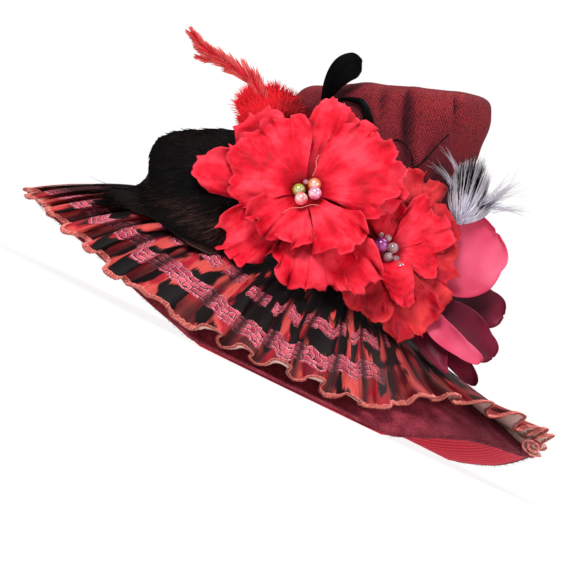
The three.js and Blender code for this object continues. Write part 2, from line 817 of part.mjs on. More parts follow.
function makeSatinFlower() {
  const group = new THREE.Group();
  const ball = new THREE.SphereGeometry(HUB_RADIUS, 14, 9);
  const hub = piece("satin_hub", ball, PAINT.wineSatin);
  hub.position.copy(inBunch(SATIN_HUB.along, SATIN_HUB.up, SATIN_HUB.out));
  group.add(hub);
  SATIN_PETALS.forEach((shape, index) => {
    group.add(piece(`satin_petal_${index + 1}`, satinPetal(shape), PAINT[shape.paint]));
  });
  return group;
}

// A pad through slices, bowed out in front and flatter behind, that rests on the ruffle
function makePad(name, slices, paint) {
  const steps = [0, 0.25, 0.5, 0.75, 1];
  const rings = slices.map((slice) => {
    const spot = (share, bow) => {
      const depth = lerp(slice.outTop, slice.outBottom, share) + bow * Math.sin(Math.PI * share);
      return rested([inBunch(slice.along, lerp(slice.top, slice.bottom, share), depth)])[0];
    };
    const frontSide = steps.map((share) => spot(share, slice.thick * PAD_FRONT_SHARE));
    const backSide = [0.75, 0.5, 0.25].map((share) => spot(share, -slice.thick * (1 - PAD_FRONT_SHARE)));
    return [...frontSide, ...backSide];
  });
  return piece(name, loft(rings), paint);
}

// A flat feather along its rows, with a lens-shaped section
function makeStrap({ name, rows, paint }) {
  const rings = rows.map((row, index) => {
    const before = rows[Math.max(index - 1, 0)];
    const after = rows[Math.min(index + 1, rows.length - 1)];
    const heading = new THREE.Vector2(after.along - before.along, after.up - before.up).normalize();
    const corner = (sideways, outwards) => {
      const along = row.along - heading.y * sideways * row.width;
      const up = row.up + heading.x * sideways * row.width;
      return inBunch(along, up, row.out + outwards * row.thick);
    };
    return [
      corner(-0.5, 0),
      corner(-0.25, 0.5),
      corner(0.25, 0.5),
      corner(0.5, 0),
      corner(0.25, -0.5),
      corner(-0.25, -0.5),
    ];
  });
  return piece(name, loft(rings), PAINT[paint]);
}

const hat = new THREE.Group();
hat.name = "floppy_hat";
hat.add(makeCrown(), makeBrim(), makeLining(), makeRuffle());
hat.add(makeFlower(FLOWER_A, BEADS_A), makeFlower(FLOWER_B, BEADS_B));
hat.add(makeSatinFlower());
hat.add(makePad("feather_pad", PAD_SLICES, PAINT.blackFeather));
hat.add(makePad("red_hackle_pad", HACKLE_SLICES, PAINT.redFeather));
for (const strap of STRAPS) hat.add(makeStrap(strap));

export default hat;
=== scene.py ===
"""A floppy hat: cloth crown, felt brim with a ribbed lining and a pleated printed ruffle, silk flowers,
beads and feathers. Shapes are worked out in millimetres and become metres when a mesh is made.
+Z is up, -X is the front of the hat, and the flowers are on the -Y side."""

import math

import bpy
import numpy as np
from mathutils import Matrix, Vector


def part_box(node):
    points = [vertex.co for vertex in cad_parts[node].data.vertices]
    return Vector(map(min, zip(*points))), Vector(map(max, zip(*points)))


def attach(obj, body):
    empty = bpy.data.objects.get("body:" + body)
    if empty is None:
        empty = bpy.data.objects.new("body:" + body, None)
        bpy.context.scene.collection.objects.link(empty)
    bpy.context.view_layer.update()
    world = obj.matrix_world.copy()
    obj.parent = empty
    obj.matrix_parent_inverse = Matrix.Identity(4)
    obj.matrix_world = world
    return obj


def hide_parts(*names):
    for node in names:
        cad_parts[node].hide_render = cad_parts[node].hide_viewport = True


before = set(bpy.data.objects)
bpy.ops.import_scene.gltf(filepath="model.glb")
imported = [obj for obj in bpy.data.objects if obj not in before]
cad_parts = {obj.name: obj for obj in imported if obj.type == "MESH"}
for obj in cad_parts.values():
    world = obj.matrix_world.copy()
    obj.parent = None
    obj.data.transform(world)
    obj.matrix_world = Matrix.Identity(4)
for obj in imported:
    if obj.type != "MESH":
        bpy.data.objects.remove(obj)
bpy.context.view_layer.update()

MM = 0.001
TAU = 2 * math.pi

# Camera: where it stands and looks, how far it is rolled, and its lens for a 36 mm sensor
CAMERA_PLACE = (-11, -1600, 30)
CAMERA_TARGET = (-11, 0, 66)
CAMERA_ROLL = math.radians(26)
CAMERA_LENS = 129

# Lights in metres and watts, and the share of the white background's light that falls on the hat
LIGHTS = (
    {"name": "key", "place": (-0.8, -1.4, 1.3), "size": 0.8, "power": 26},
    {"name": "fill", "place": (1.3, -1.1, 0.9), "size": 1.2, "power": 8},
    {"name": "top", "place": (0.3, 0.4, 1.7), "size": 1.0, "power": 15},
)
LIGHT_AIM = (0, 0, 0.12)
AMBIENT = 0.28

# Floor in metres: half its width, how far it lies under the hat, where it fades out, and its own glow
FLOOR_HALF = 40
FLOOR_DROP = 0.0002
FLOOR_FADE = (0.15, 0.28)
FLOOR_GLOW = 0.9

# The seam between crown and brim, and the brim's outline
SEAM_CENTRE = 5
SEAM_HALF_LENGTH = 99
SEAM_HALF_WIDTH = 84
SEAM_HEIGHT = 78
SEAM_DIP = 12
SEAM_ROUND = 0.08
BRIM_HALF_LENGTH = 211.5
BRIM_HALF_WIDTH = 176

# Walls and gaps
FELT_WALL = 2.2
LINING_WALL = 1.2
GAP = 0.3
FELT_REST = LINING_WALL + GAP + FELT_WALL
CROWN_WALL = 2
RUFFLE_WALL = 0.8
PETAL_WALL = 0.5

# Pleats of the ruffle, and the stitches and the curl of its hem
PLEATS = 42
PLEAT_HEIGHT = 8.5
PLEAT_ROOT = 1
PLEAT_SWELL = 1.2
PLEAT_LEAN = 9
PLEAT_SWAY = 2.4
RUFFLE_GAP = 2.4
RUFFLE_START = 0.04
LIFT_START = 0.4
HEM_WOBBLE = 4.2
HEM_FLARE = 8
STITCH_STEP = 1.25
ROLL_PLACE = (204, -46, 40)
ROLL_TURNS = 1.55
ROLL_REACH = (7, 2)
ROLL_DEPTH = 5

# The lining's ribs and the soft roll near its edge
LINING_RIB = 2.3
LINING_PUFF = 3
LINING_PUFF_PLACE = 0.88
LINING_END = 0.985

# The net over the crown: how its cells are turned and sized, and the radius that it is laid round
NET_TURN = math.radians(42)
NET_SCALE = 0.56
NET_RADIUS = 78
NET_TOP_START = 0.84

# Round the brim, from the back by way of the far side: the felt's edge height, how late it droops, how
# far the ruffle's hem passes the felt's edge and how far it stands off the felt
BRIM_COLUMNS = ("edge", "bend", "hem", "lift")
BRIM_ROWS = np.array([
    (33, 1.0, 1, 5),
    (13, 1.05, 0, 1),
    (-3, 1.1, -2, 0),
    (-9, 1.2, -4, 0),
    (-9, 1.3, -4, 0),
    (6, 1.5, -2, 0),
    (27, 1.8, 2, 0),
    (38, 2.0, 2, 0),
    (44, 2.1, 2, 0),
    (38, 1.9, 4, 0),
    (28, 1.7, 6, 0),
    (9, 1.4, 5, 0),
    (-9, 1.3, 1, 0),
    (-1, 1.15, -13, 2),
    (24, 1.05, -22, 10),
    (31, 1.0, -12, 9),
])

# The crown's outer face as rings from the seam to the top
CROWN_COLUMNS = ("centre", "half_length", "half_width", "front", "back")
CROWN_ROWS = np.array([
    (5, 98.3, 83.3, 85, 61),
    (5, 98.3, 83.3, 91, 67),
    (3, 93, 79, 125, 112),
    (1, 85, 73, 160, 165),
    (-1, 77, 66, 188, 212),
    (-1, 74, 62, 202, 246),
    (-1, 67, 55, 211, 262),
    (0, 52, 42, 220, 262),
    (4, 26, 21, 234, 254),
])
CROWN_TOP = (4, 0, 246)
CROWN_FOLDS = (
    {"angle": 262, "depth": 4, "width": 2, "low": 196, "high": 246},
    {"angle": 280, "depth": 5, "width": 2.4, "low": 180, "high": 256},
    {"angle": 287, "depth": 2.5, "width": 4, "low": 150, "high": 240},
    {"angle": 306, "depth": 6, "width": 2.2, "low": 222, "high": 262},
    {"angle": 20, "depth": 3, "width": 10, "low": 110, "high": 250},
    {"angle": 75, "depth": 4, "width": 9, "low": 120, "high": 240},
    {"angle": 125, "depth": 3, "width": 10, "low": 110, "high": 220},
    {"angle": 195, "depth": 3, "width": 9, "low": 110, "high": 200},
)
FOLD_FADE = 25
FOLD_SLANT = -0.33

# The trim lies along a plane that leans this far from level
TRIM_LEAN = math.radians(26)


def make_camera():
    camera = bpy.data.objects.new("camera", bpy.data.cameras.new("camera"))
    bpy.context.scene.collection.objects.link(camera)
    place = Vector(CAMERA_PLACE) * MM
    view = Vector(CAMERA_TARGET) * MM - place
    turn = view.to_track_quat("-Z", "Y").to_matrix() @ Matrix.Rotation(CAMERA_ROLL, 3, "Z")
    camera.matrix_world = Matrix.Translation(place) @ turn.to_4x4()
    camera.data.lens = CAMERA_LENS
    camera.data.clip_start = 0.05
    camera.data.clip_end = 50
    bpy.context.scene.camera = camera


make_camera()


# Numbers and grids

def unit(vectors):
    lengths = np.linalg.norm(vectors, axis=-1, keepdims=True)
    return vectors / np.maximum(lengths, 1e-9)


def smooth(low, high, values):
    """0 below low, 1 above high and a smooth rise between"""
    share = np.clip((values - low) / (high - low), 0, 1)
    return share * share * (3 - 2 * share)


def mix(a, b, share):
    return a + (b - a) * share


def around(count):
    """A row of angles round a ring"""
    return np.linspace(0, TAU, count, endpoint=False)[None, :]


def down(count):
    """A column of shares from 0 to 1"""
    return np.linspace(0, 1, count)[:, None]


def stacked(*values):
    """Points from their coordinates, which may be numbers, rows, columns or grids"""
    return np.stack(np.broadcast_arrays(*values), -1)


def waves(points, size, seed, count=9):
    """Smooth noise of about -1 to 1, with lumps of about that size in mm"""
    rng = np.random.default_rng(seed)
    headings = unit(rng.normal(size=(count, 3))) * rng.uniform(0.6, 1.5, (count, 1)) * TAU / (2 * size)
    turns = rng.uniform(0, TAU, count)
    return np.sin(points @ headings.T + turns).sum(-1) / math.sqrt(count)


def through_rows(table, places, is_ring=False):
    """A table's rows at places between them, along smooth curves"""
    last = len(table) - 1
    row = np.floor(places).astype(int)
    if not is_ring:
        row = np.clip(row, 0, last - 1)
    share = (places - row)[..., None]

    def pick(step):
        return table[(row + step) % len(table)] if is_ring else table[np.clip(row + step, 0, last)]

    before, start, end, after = pick(-1), pick(0), pick(1), pick(2)
    slope_in = (end - before) / 2
    slope_out = (after - start) / 2
    rise = end - start
    cube = slope_in + slope_out - 2 * rise
    square = 3 * rise - 2 * slope_in - slope_out
    return start + slope_in * share + square * share ** 2 + cube * share ** 3


def curve_through(points, count):
    """count points along a smooth curve through a few"""
    points = np.asarray(points, float)
    return through_rows(points, np.linspace(0, len(points) - 1, count))


def arc_through(begin, middle, tip, shares):
    """Points along a bow from begin to tip that the middle point pulls aside"""
    return (1 - shares) ** 2 * begin + 2 * shares * (1 - shares) * middle + shares ** 2 * tip


def grid_normals(grid, is_ring=False):
    """Unit normals of a grid of points, (rows, columns, 3)"""
    if is_ring:
        across = np.roll(grid, -1, 1) - np.roll(grid, 1, 1)
    else:
        across = np.gradient(grid, axis=1)
    return unit(np.cross(across, np.gradient(grid, axis=0)))


def lengths_along(line):
    """How far each point of a line is from its start"""
    return np.concatenate([[0], np.cumsum(np.linalg.norm(np.diff(line, axis=0), axis=1))])


# Meshes

def grid_faces(rows, columns, is_ring, first, is_flipped):
    i = np.arange(rows - 1)[:, None] * columns
    j = np.arange(columns if is_ring else columns - 1)[None, :]
    low = first + i + j
    low_next = first + i + (j + 1) % columns
    quads = np.stack([low, low_next, low_next + columns, low + columns], -1).reshape(-1, 4)
    return quads[:, ::-1] if is_flipped else quads


def ring_cap(first, sides):
    """Quads that close a ring of points"""
    k = np.arange(sides // 2 - 1)
    return np.stack([first + k, first + k + 1, first + sides - 2 - k, first + sides - 1 - k], -1)


def shell(front, back, is_ring=False, is_capped=False):
    """The points and faces of the closed wall between two grids, and each face's side: 0 front, 1 back,
    2 rim. A capped ring is closed over its last row."""
    rows, columns = front.shape[:2]
    count = rows * columns
    index = np.arange(count).reshape(rows, columns)
    if is_ring:
        first = np.append(index[0], index[0, 0])
        last = np.append(index[-1], index[-1, 0])[::-1]
        loops = [first] if is_capped else [first, last]
    else:
        loops = [np.concatenate([index[0], index[1:, -1], index[-1, -2::-1], index[-2::-1, 0]])]
    parts = [
        (0, grid_faces(rows, columns, is_ring, 0, False)),
        (1, grid_faces(rows, columns, is_ring, count, True)),
    ]
    for loop in loops:
        parts.append((2, np.stack([loop[1:], loop[:-1], loop[:-1] + count, loop[1:] + count], -1)))
    if is_capped:
        cap = ring_cap(index[-1, 0], columns)
        parts += [(0, cap), (1, cap[:, ::-1] + count)]
    faces = np.concatenate([quads for side, quads in parts])
    sides = np.concatenate([np.full(len(quads), side) for side, quads in parts])
    points = np.concatenate([front.reshape(-1, 3), back.reshape(-1, 3)])
    return points, faces, sides


def tube(line, radius, sides, is_ring=False):
    """A grid of points round a line, for a closed tube; radius may change along it"""
    if is_ring:
        headings = unit(np.roll(line, -1, 0) - np.roll(line, 1, 0))
    else:
        headings = unit(np.gradient(line, axis=0))
    first = unit(np.cross(headings, (0.31, 0.17, 0.93)))
    second = np.cross(headings, first)
    turns = around(sides)[..., None]
    radii = np.broadcast_to(radius, len(line))[:, None, None]
    spokes = first[:, None] * np.cos(turns) + second[:, None] * np.sin(turns)
    return line[:, None] + spokes * radii


def tube_faces(rings, sides, is_ring):
    """Quads of a tube, with its ends closed where it isn't a ring"""
    faces = grid_faces(rings, sides, True, 0, False)
    last = (rings - 1) * sides
    if is_ring:
        j = np.arange(sides)
        j_next = (j + 1) % sides
        return np.concatenate([faces, np.stack([last + j, last + j_next, j_next, j], -1)])
    return np.concatenate([faces, ring_cap(0, sides)[:, ::-1], ring_cap(last, sides)])


def strand_shapes(paths, facing, width, thick, profile):
    """Closed tapered strands along paths, (strands, steps, 3): flat towards where they face, with a
    triangular section whose size follows the profile. Returns points, quads and end triangles."""
    strands, steps = paths.shape[:2]
    headings = unit(np.gradient(paths, axis=1))
    sides = unit(np.cross(headings, facing))
    ups = np.cross(sides, headings)
    sizes = np.asarray(profile)[None, :, None]
    half = np.broadcast_to(width, strands)[:, None, None] * sizes / 2
    rings = np.stack([paths - sides * half, paths + sides * half, paths + ups * sizes * thick], 2)
    strand = np.arange(strands)[:, None, None] * steps * 3
    step = np.arange(steps - 1)[None, :, None] * 3
    corner = np.arange(3)[None, None, :]
    low = strand + step + corner
    low_next = strand + step + (corner + 1) % 3
    quads = np.stack([low, low_next, low_next + 3, low + 3], -1).reshape(-1, 4)
    starts = strand.ravel()
    ends = starts + (steps - 1) * 3
    roots = np.stack([starts + 2, starts + 1, starts], -1)
    tips = np.stack([ends, ends + 1, ends + 2], -1)
    return rings.reshape(-1, 3), quads, np.concatenate([roots, tips])


def signed_volume(points, faces):
    volume = 0
    for corners in ([0, 1, 2], [0, 2, 3])[:faces.shape[1] - 2]:
        a, b, c = np.moveaxis(points[faces[:, corners]], 1, 0)
        volume += np.einsum("ij,ij->i", a, np.cross(b, c)).sum()
    return volume


class Build:
    """Gathers closed shapes into one mesh, with a material number for each face and fields for each point"""

    def __init__(self):
        self.points = []
        self.faces = []
        self.paints = []
        self.fields = {}
        self.count = 0

    def gather(self, points, face_groups, paints, fields):
        """Adds a closed shape, turned so that its faces point out"""
        is_inside_out = signed_volume(points, face_groups[0]) < 0
        for faces in face_groups:
            if is_inside_out:
                faces = faces[:, ::-1]
            self.faces += (faces + self.count).tolist()
        self.points.append(points)
        self.paints.append(np.broadcast_to(paints, sum(len(faces) for faces in face_groups)))
        for name, values in fields.items():
            if np.ndim(values) == 0:
                values = np.full(len(points), values)
            self.fields.setdefault(name, []).append(values)
        self.count += len(points)

    def add(self, points, faces, paints=0, **fields):
        """Adds a shape; a field is one number, or a value for each point"""
        self.gather(points, [faces], paints, fields)

    def add_shell(self, face, reverse, is_ring=False, is_capped=False, paints=(0, 0, 0), **fields):
        """Adds the closed wall between two grids, with the materials of its face, reverse and rim; a field
        has a number or three for each point of the face, or fewer to be spread over it"""
        points, faces, sides = shell(face, reverse, is_ring, is_capped)
        doubled = {}
        for name, values in fields.items():
            values = np.asarray(values)
            if values.ndim == 3:
                flat = values.reshape(-1, 3)
            else:
                flat = np.broadcast_to(values, face.shape[:2]).ravel()
            doubled[name] = np.concatenate([flat, flat])
        self.add(points, faces, np.array(paints)[sides], **doubled)

    def add_tube(self, grid, is_ring=False, **fields):
        rings, sides = grid.shape[:2]
        self.add(grid.reshape(-1, 3), tube_faces(rings, sides, is_ring), **fields)

    def add_strands(self, paths, facing, width, thick, profile, tones, paint=0):
        """Adds strands with the fields share, from root to tip, and tone, one number for each strand"""
        points, quads, ends = strand_shapes(paths, facing, width, thick, profile)
        strands, steps = paths.shape[:2]
        share = np.broadcast_to(np.linspace(0, 1, steps)[None, :, None], (strands, steps, 3)).ravel()
        fields = {"share": share, "tone": np.repeat(tones, steps * 3)}
        self.gather(points, [quads, ends], paint, fields)

    def piece(self, name, materials, replaces=(), is_smooth=True):
        """Makes the mesh, with materials by name"""
        mesh = bpy.data.meshes.new(name)
        mesh.from_pydata((np.concatenate(self.points) * MM).tolist(), [], self.faces)
        mesh.polygons.foreach_set("material_index", np.concatenate(self.paints).astype(np.int32))
        for field, values in self.fields.items():
            values = np.concatenate(values).astype(np.float32)
            is_number = values.ndim == 1
            made = mesh.attributes.new(field, "FLOAT" if is_number else "FLOAT_VECTOR", "POINT")
            made.data.foreach_set("value" if is_number else "vector", values.ravel())
        for material in materials:
            mesh.materials.append(MATERIALS[material])
        mesh.polygons.foreach_set("use_smooth", np.full(len(mesh.polygons), is_smooth))
        mesh.update()
        made = bpy.data.objects.new(name, mesh)
        bpy.context.scene.collection.objects.link(made)
        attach(made, "root")
        if replaces:
            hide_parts(*replaces)
        return made


# The hat's main surfaces, the same as the solid model's

def brim_value(column, angles):
    places = (angles / TAU % 1) * len(BRIM_ROWS)
    return through_rows(BRIM_ROWS, places, True)[..., BRIM_COLUMNS.index(column)]


def brim_oval(t):
    """The oval's centre, half length and half width; t is 0 at the seam and 1 at the felt's edge"""
    half_length = mix(SEAM_HALF_LENGTH, BRIM_HALF_LENGTH, t)
    half_width = mix(SEAM_HALF_WIDTH, BRIM_HALF_WIDTH, t)
    return mix(SEAM_CENTRE, 0, t), half_length, half_width


def brim_surface(angles, t):
    """The felt's top face before it is flattened"""
    seam_height = SEAM_HEIGHT - SEAM_DIP * np.cos(angles)
    drop = seam_height - brim_value("edge", angles)
    height = seam_height - drop * np.maximum(t, 0) ** brim_value("bend", angles)
    centre, half_length, half_width = brim_oval(t)
    return np.stack([centre + half_length * np.cos(angles), half_width * np.sin(angles), height], -1)


def brim_normal(angles, t):
    t = np.maximum(t, 0.01)
    step = 1e-4
    round_it = brim_surface(angles + step, t) - brim_surface(angles - step, t)
    outwards = brim_surface(angles, t + step) - brim_surface(angles, t - step)
    normals = unit(np.cross(round_it, outwards))
    return normals * np.where(normals[..., 2:] < 0, -1, 1)


def brim_point(angles, t, rise):
    """Points at a rise over the felt's top face, kept over the floor"""
    points = brim_surface(angles, t)
    normals = brim_normal(angles, t)
    sideways = np.clip(t / SEAM_ROUND, 0, 1) * rise
    points[..., 0] += normals[..., 0] * sideways
    points[..., 1] += normals[..., 1] * sideways
    points[..., 2] = np.maximum(points[..., 2] + normals[..., 2] * rise, FELT_REST + rise)
    return points


def brim_width(angles):
    """The brim's width in plan, seam to edge"""
    long = (BRIM_HALF_LENGTH - SEAM_HALF_LENGTH) * np.cos(angles)
    wide = (BRIM_HALF_WIDTH - SEAM_HALF_WIDTH) * np.sin(angles)
    return np.hypot(long, wide)


def brim_lift(angles, t):
    """How far the ruffle stands off the felt"""
    lifted = np.maximum((t - LIFT_START) / (1 - LIFT_START), 0)
    return np.maximum(brim_value("lift", angles) * lifted ** 2, 0)


def fold_depth(angles, heights):
    depth = np.zeros(np.broadcast(angles, heights).shape)
    degrees = np.degrees(angles)
    for fold in CROWN_FOLDS:
        slant = FOLD_SLANT * (heights - (fold["low"] + fold["high"]) / 2)
        away = (degrees - fold["angle"] - slant + 540) % 360 - 180
        along = np.minimum(heights - fold["low"], fold["high"] - heights) / FOLD_FADE
        depth += fold["depth"] * np.exp(-(away / fold["width"]) ** 2) * np.clip(along, 0, 1)
    return depth


def crown_surface(angles, v):
    """The crown's outer face, v from the seam to the top"""
    values = through_rows(CROWN_ROWS, v * (len(CROWN_ROWS) - 1))
    value = {name: values[..., k] for k, name in enumerate(CROWN_COLUMNS)}
    heights = mix(value["front"], value["back"], (1 + np.cos(angles)) / 2)
    dent = fold_depth(angles, heights)
    x = value["centre"] + (value["half_length"] - dent) * np.cos(angles)
    return np.stack([x, (value["half_width"] - dent) * np.sin(angles), heights], -1)


def in_bunch(along, up, out):
    """A place along and up in the trim's leaning plane, and out towards the near side"""
    x = along * math.cos(TRIM_LEAN) - up * math.sin(TRIM_LEAN)
    z = along * math.sin(TRIM_LEAN) + up * math.cos(TRIM_LEAN)
    return stacked(x, -np.asarray(out, float), z)


def box_middle(node):
    """The middle of a solid's box, and the box's shortest side, in mm"""
    low, high = (np.array(corner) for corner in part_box(node))
    return (low + high) / 2 / MM, float((high - low).min()) / MM


# Materials

def rgb(red, green, blue):
    """A shader colour from the numbers that a screen shows"""
    def linear(value):
        share = value / 255
        return share / 12.92 if share <= 0.04045 else ((share + 0.055) / 1.055) ** 2.4
    return (linear(red), linear(green), linear(blue), 1)


def shaded(colour):
    """A socket or a shader colour stays, and a screen's three numbers become a shader colour"""
    return rgb(*colour) if isinstance(colour, tuple) and len(colour) == 3 else colour


class Paint:
    """A material, and short ways to add nodes to it. Colours are sockets or a screen's three numbers."""

    def __init__(self, name, **settings):
        self.material = bpy.data.materials.new(name)
        self.material.use_nodes = True
        self.tree = self.material.node_tree
        self.shader = self.tree.nodes["Principled BSDF"]
        for key, value in settings.items():
            label = key.replace("_", " ").title().replace("Ior", "IOR")
            self.shader.inputs[label].default_value = shaded(value)

    def node(self, kind, inputs=None, **settings):
        made = self.tree.nodes.new("ShaderNode" + kind)
        for key, value in settings.items():
            setattr(made, key, value)
        for key, value in (inputs or {}).items():
            self.feed(made.inputs[key], value)
        return made

    def feed(self, socket, value):
        if isinstance(value, bpy.types.NodeSocket):
            self.tree.links.new(value, socket)
        else:
            socket.default_value = value

    def value(self, name):
        """The mesh's field of one number"""
        return self.node("Attribute", attribute_name=name).outputs["Fac"]

    def vector(self, name):
        """The mesh's field of three numbers"""
        return self.node("Attribute", attribute_name=name).outputs["Vector"]

    def place(self):
        return self.node("TexCoord").outputs["Object"]

    def split(self, vector):
        return tuple(self.node("SeparateXYZ", {"Vector": vector}).outputs)

    def calc(self, operation, a, b=0.0):
        return self.node("Math", {0: a, 1: b}, operation=operation).outputs[0]

    def plus(self, a, b):
        return self.calc("ADD", a, b)

    def minus(self, a, b):
        return self.calc("SUBTRACT", a, b)

    def times(self, a, b):
        return self.calc("MULTIPLY", a, b)

    def weighted(self, a, a_share, b, b_share):
        return self.plus(self.times(a, a_share), self.times(b, b_share))

    def stirred(self, value, noise, size):
        """A value moved up or down by a noise of 0 to 1"""
        return self.plus(value, self.times(self.minus(noise, 0.5), size))

    def band(self, value, low, high):
        """0 below low and 1 above high"""
        made = self.node("MapRange", {"Value": value, "From Min": low, "From Max": high})
        made.interpolation_type = "SMOOTHSTEP"
        return made.outputs["Result"]

    def between(self, value, start, end, soft):
        """1 between start and end, with soft edges"""
        rise = self.band(value, start - soft, start + soft)
        fall = self.band(value, end + soft, end - soft)
        return self.times(rise, fall)

    def chosen(self, share, a, b):
        """A number between a and b"""
        return self.node("Mix", {0: share, 2: a, 3: b}, data_type="FLOAT").outputs[0]

    def blend(self, share, a, b, kind="MIX"):
        colours = {0: share, 6: shaded(a), 7: shaded(b)}
        return self.node("Mix", colours, data_type="RGBA", blend_type=kind).outputs[2]

    def tint(self, colour, other, share, strength):
        """A colour that turns to the other by a share of that strength"""
        return self.blend(self.times(share, strength), colour, other)

    def ramp(self, share, *stops):
        made = self.node("ValToRGB", {"Fac": share})
        elements = made.color_ramp.elements
        while len(elements) < len(stops):
            elements.new(0.5)
        for element, (place, colour) in zip(elements, stops):
            element.position = place
            element.color = shaded(colour)
        return made.outputs["Color"]

    def noise(self, scale, vector=None, detail=3.0, kind="Fac"):
        inputs = {"Scale": scale, "Detail": detail, "Vector": vector or self.place()}
        return self.node("TexNoise", inputs).outputs[kind]

    def scaled(self, vector, x, y, z=1.0):
        return self.node("Mapping", {"Vector": vector, "Scale": (x, y, z)}).outputs["Vector"]

    def moved(self, vector, by):
        return self.node("VectorMath", {0: vector, 1: by}, operation="ADD").outputs[0]

    def stirred_place(self, vector, noise, size):
        """A place moved by a colour's noise"""
        push = self.moved(noise, (-0.5, -0.5, -0.5))
        push = self.node("VectorMath", {0: push, "Scale": size}, operation="SCALE").outputs[0]
        return self.moved(vector, push)

    def open_air(self, reach):
        """1 where nothing is near, and less in hollows"""
        return self.node("AmbientOcclusion", {"Distance": reach * MM}, samples=6).outputs["AO"]

    def bump(self, height, distance, strength=1.0):
        inputs = {"Height": height, "Distance": distance * MM, "Strength": strength}
        return self.node("Bump", inputs).outputs["Normal"]

    def finish(self, colour, normal=None):
        self.feed(self.shader.inputs["Base Color"], colour)
        if normal:
            self.feed(self.shader.inputs["Normal"], normal)
        return self.material


def crown_cloth():
    """A wine red net with lozenge cells, laid over a plain backing. It fades where its ends join. It has
    painted shade towards the bottom, in its folds and in its hollows.
    """
    paint = Paint("crown_cloth", roughness=0.75, specular_ior_level=0.2)
    turn = {"Rotation": (0, 0, NET_TURN), "Scale": (NET_SCALE, NET_SCALE, 1)}
    turned = paint.node("Mapping", {"Vector": paint.vector("cloth"), **turn}).outputs["Vector"]
    cells = paint.node(
        "TexVoronoi", {"Vector": turned, "Scale": 1.0, "Randomness": 0.18},
        feature="DISTANCE_TO_EDGE", voronoi_dimensions="2D",
    ).outputs["Distance"]
    thread = paint.band(cells, 0.24, 0.06)
    thread = paint.plus(thread, paint.times(paint.value("join"), paint.minus(0.4, thread)))
    worn = paint.noise(28, detail=4)
    backing = paint.ramp(worn, (0.3, (78, 12, 26)), (0.7, (120, 22, 36)))
    net = paint.ramp(worn, (0.3, (146, 34, 50)), (0.7, (192, 58, 60)))
    fine = paint.noise(900, detail=4)
    colour = paint.blend(thread, backing, net)
    colour = paint.blend(paint.band(fine, 0.4, 0.75), colour, (60, 8, 20))
    # Painted shade: the crown turns darker towards the bottom
    height_up = paint.split(paint.place())[2]
    colour = paint.tint(colour, (70, 10, 38), paint.band(height_up, 0.24, 0.12), 0.5)
    # Painted shade in the crown's folds
    colour = paint.tint(colour, (36, 4, 18), paint.value("crease"), 0.75)
    # Painted shade in hollows
    colour = paint.blend(paint.band(paint.open_air(26), 0.98, 0.45), colour, (48, 8, 20))
    relief = paint.plus(thread, paint.times(fine, 0.3))
    return paint.finish(colour, paint.bump(relief, 0.5, 0.8))


def lining_cloth():
    """Ribbed red cloth, with painted shade between its ribs"""
    paint = Paint(
        "lining_cloth", roughness=0.7, specular_ior_level=0.25,
        sheen_weight=0.15, sheen_roughness=0.4, sheen_tint=(230, 60, 70),
    )
    weave = paint.noise(1.0, paint.scaled(paint.vector("cloth"), 0.5, 2.2), detail=2)
    # Painted shade: the rib field darkens the cloth between the ribs
    tone = paint.weighted(paint.value("rib"), 0.6, weave, 0.45)
    colour = paint.ramp(tone, (0.15, (130, 12, 32)), (0.85, (232, 46, 72)))
    return paint.finish(colour, paint.bump(weave, 0.3, 0.7))


def felt_cloth():
    """Wool felt, lumpy and hairy, with painted shade at the back under the hem"""
    paint = Paint(
        "felt", roughness=0.95, specular_ior_level=0.2,
        sheen_weight=0.2, sheen_roughness=0.6, sheen_tint=(190, 70, 90),
    )
    fibres = paint.noise(900, detail=3)
    tone = paint.weighted(paint.noise(60, detail=5), 0.5, fibres, 0.5)
    colour = paint.ramp(tone, (0.36, (92, 18, 36)), (0.66, (178, 66, 82)))
    # Painted shade: the felt darkens towards the back, under the hem
    along = paint.split(paint.place())[0]
    colour = paint.tint(colour, (52, 6, 20), paint.band(along, 0.08, 0.17), 0.72)
    return paint.finish(colour, paint.bump(fibres, 0.6, 0.9))


PRINT_BLACK = (9, 4, 6)
SCALE_OUTLINE = (34, 4, 14)
SCALE_SIZES = {
    "Scale": 1.0, "Mortar Size": 0.46, "Mortar Smooth": 0.35, "Brick Width": 7.8, "Row Height": 4.8,
}
GLINT_SHIFT = (0.5, 0.75, 0)
FRONT_RISE = 13.0
STITCHED_HEM = (3.6, 2.8)


class PrintPaint(Paint):
    """Paint with noise that is laid along the ruffle's cloth and up from its hem in mm. Each pleat may show
    another stretch of the cloth."""

    def __init__(self, name, **settings):
        super().__init__(name, **settings)
        self.along, self.up, pleat = self.split(self.vector("cloth"))
        number = self.calc("FLOOR", pleat)
        self.within = self.minus(pleat, number)
        self.chance = self.node("TexWhiteNoise", {"W": number}, noise_dimensions="1D").outputs["Value"]
        self.jump = self.minus(self.chance, 0.5)

    def laid(self, wide, tall, shift=0.0):
        x = self.weighted(self.along, wide, self.jump, shift)
        return self.node("CombineXYZ", {"X": x, "Y": self.times(self.up, tall)}).outputs["Vector"]

    def cloud(self, wide, tall, shift=0.0, detail=2.0):
        return self.noise(1.0, self.laid(wide, tall, shift), detail=detail)


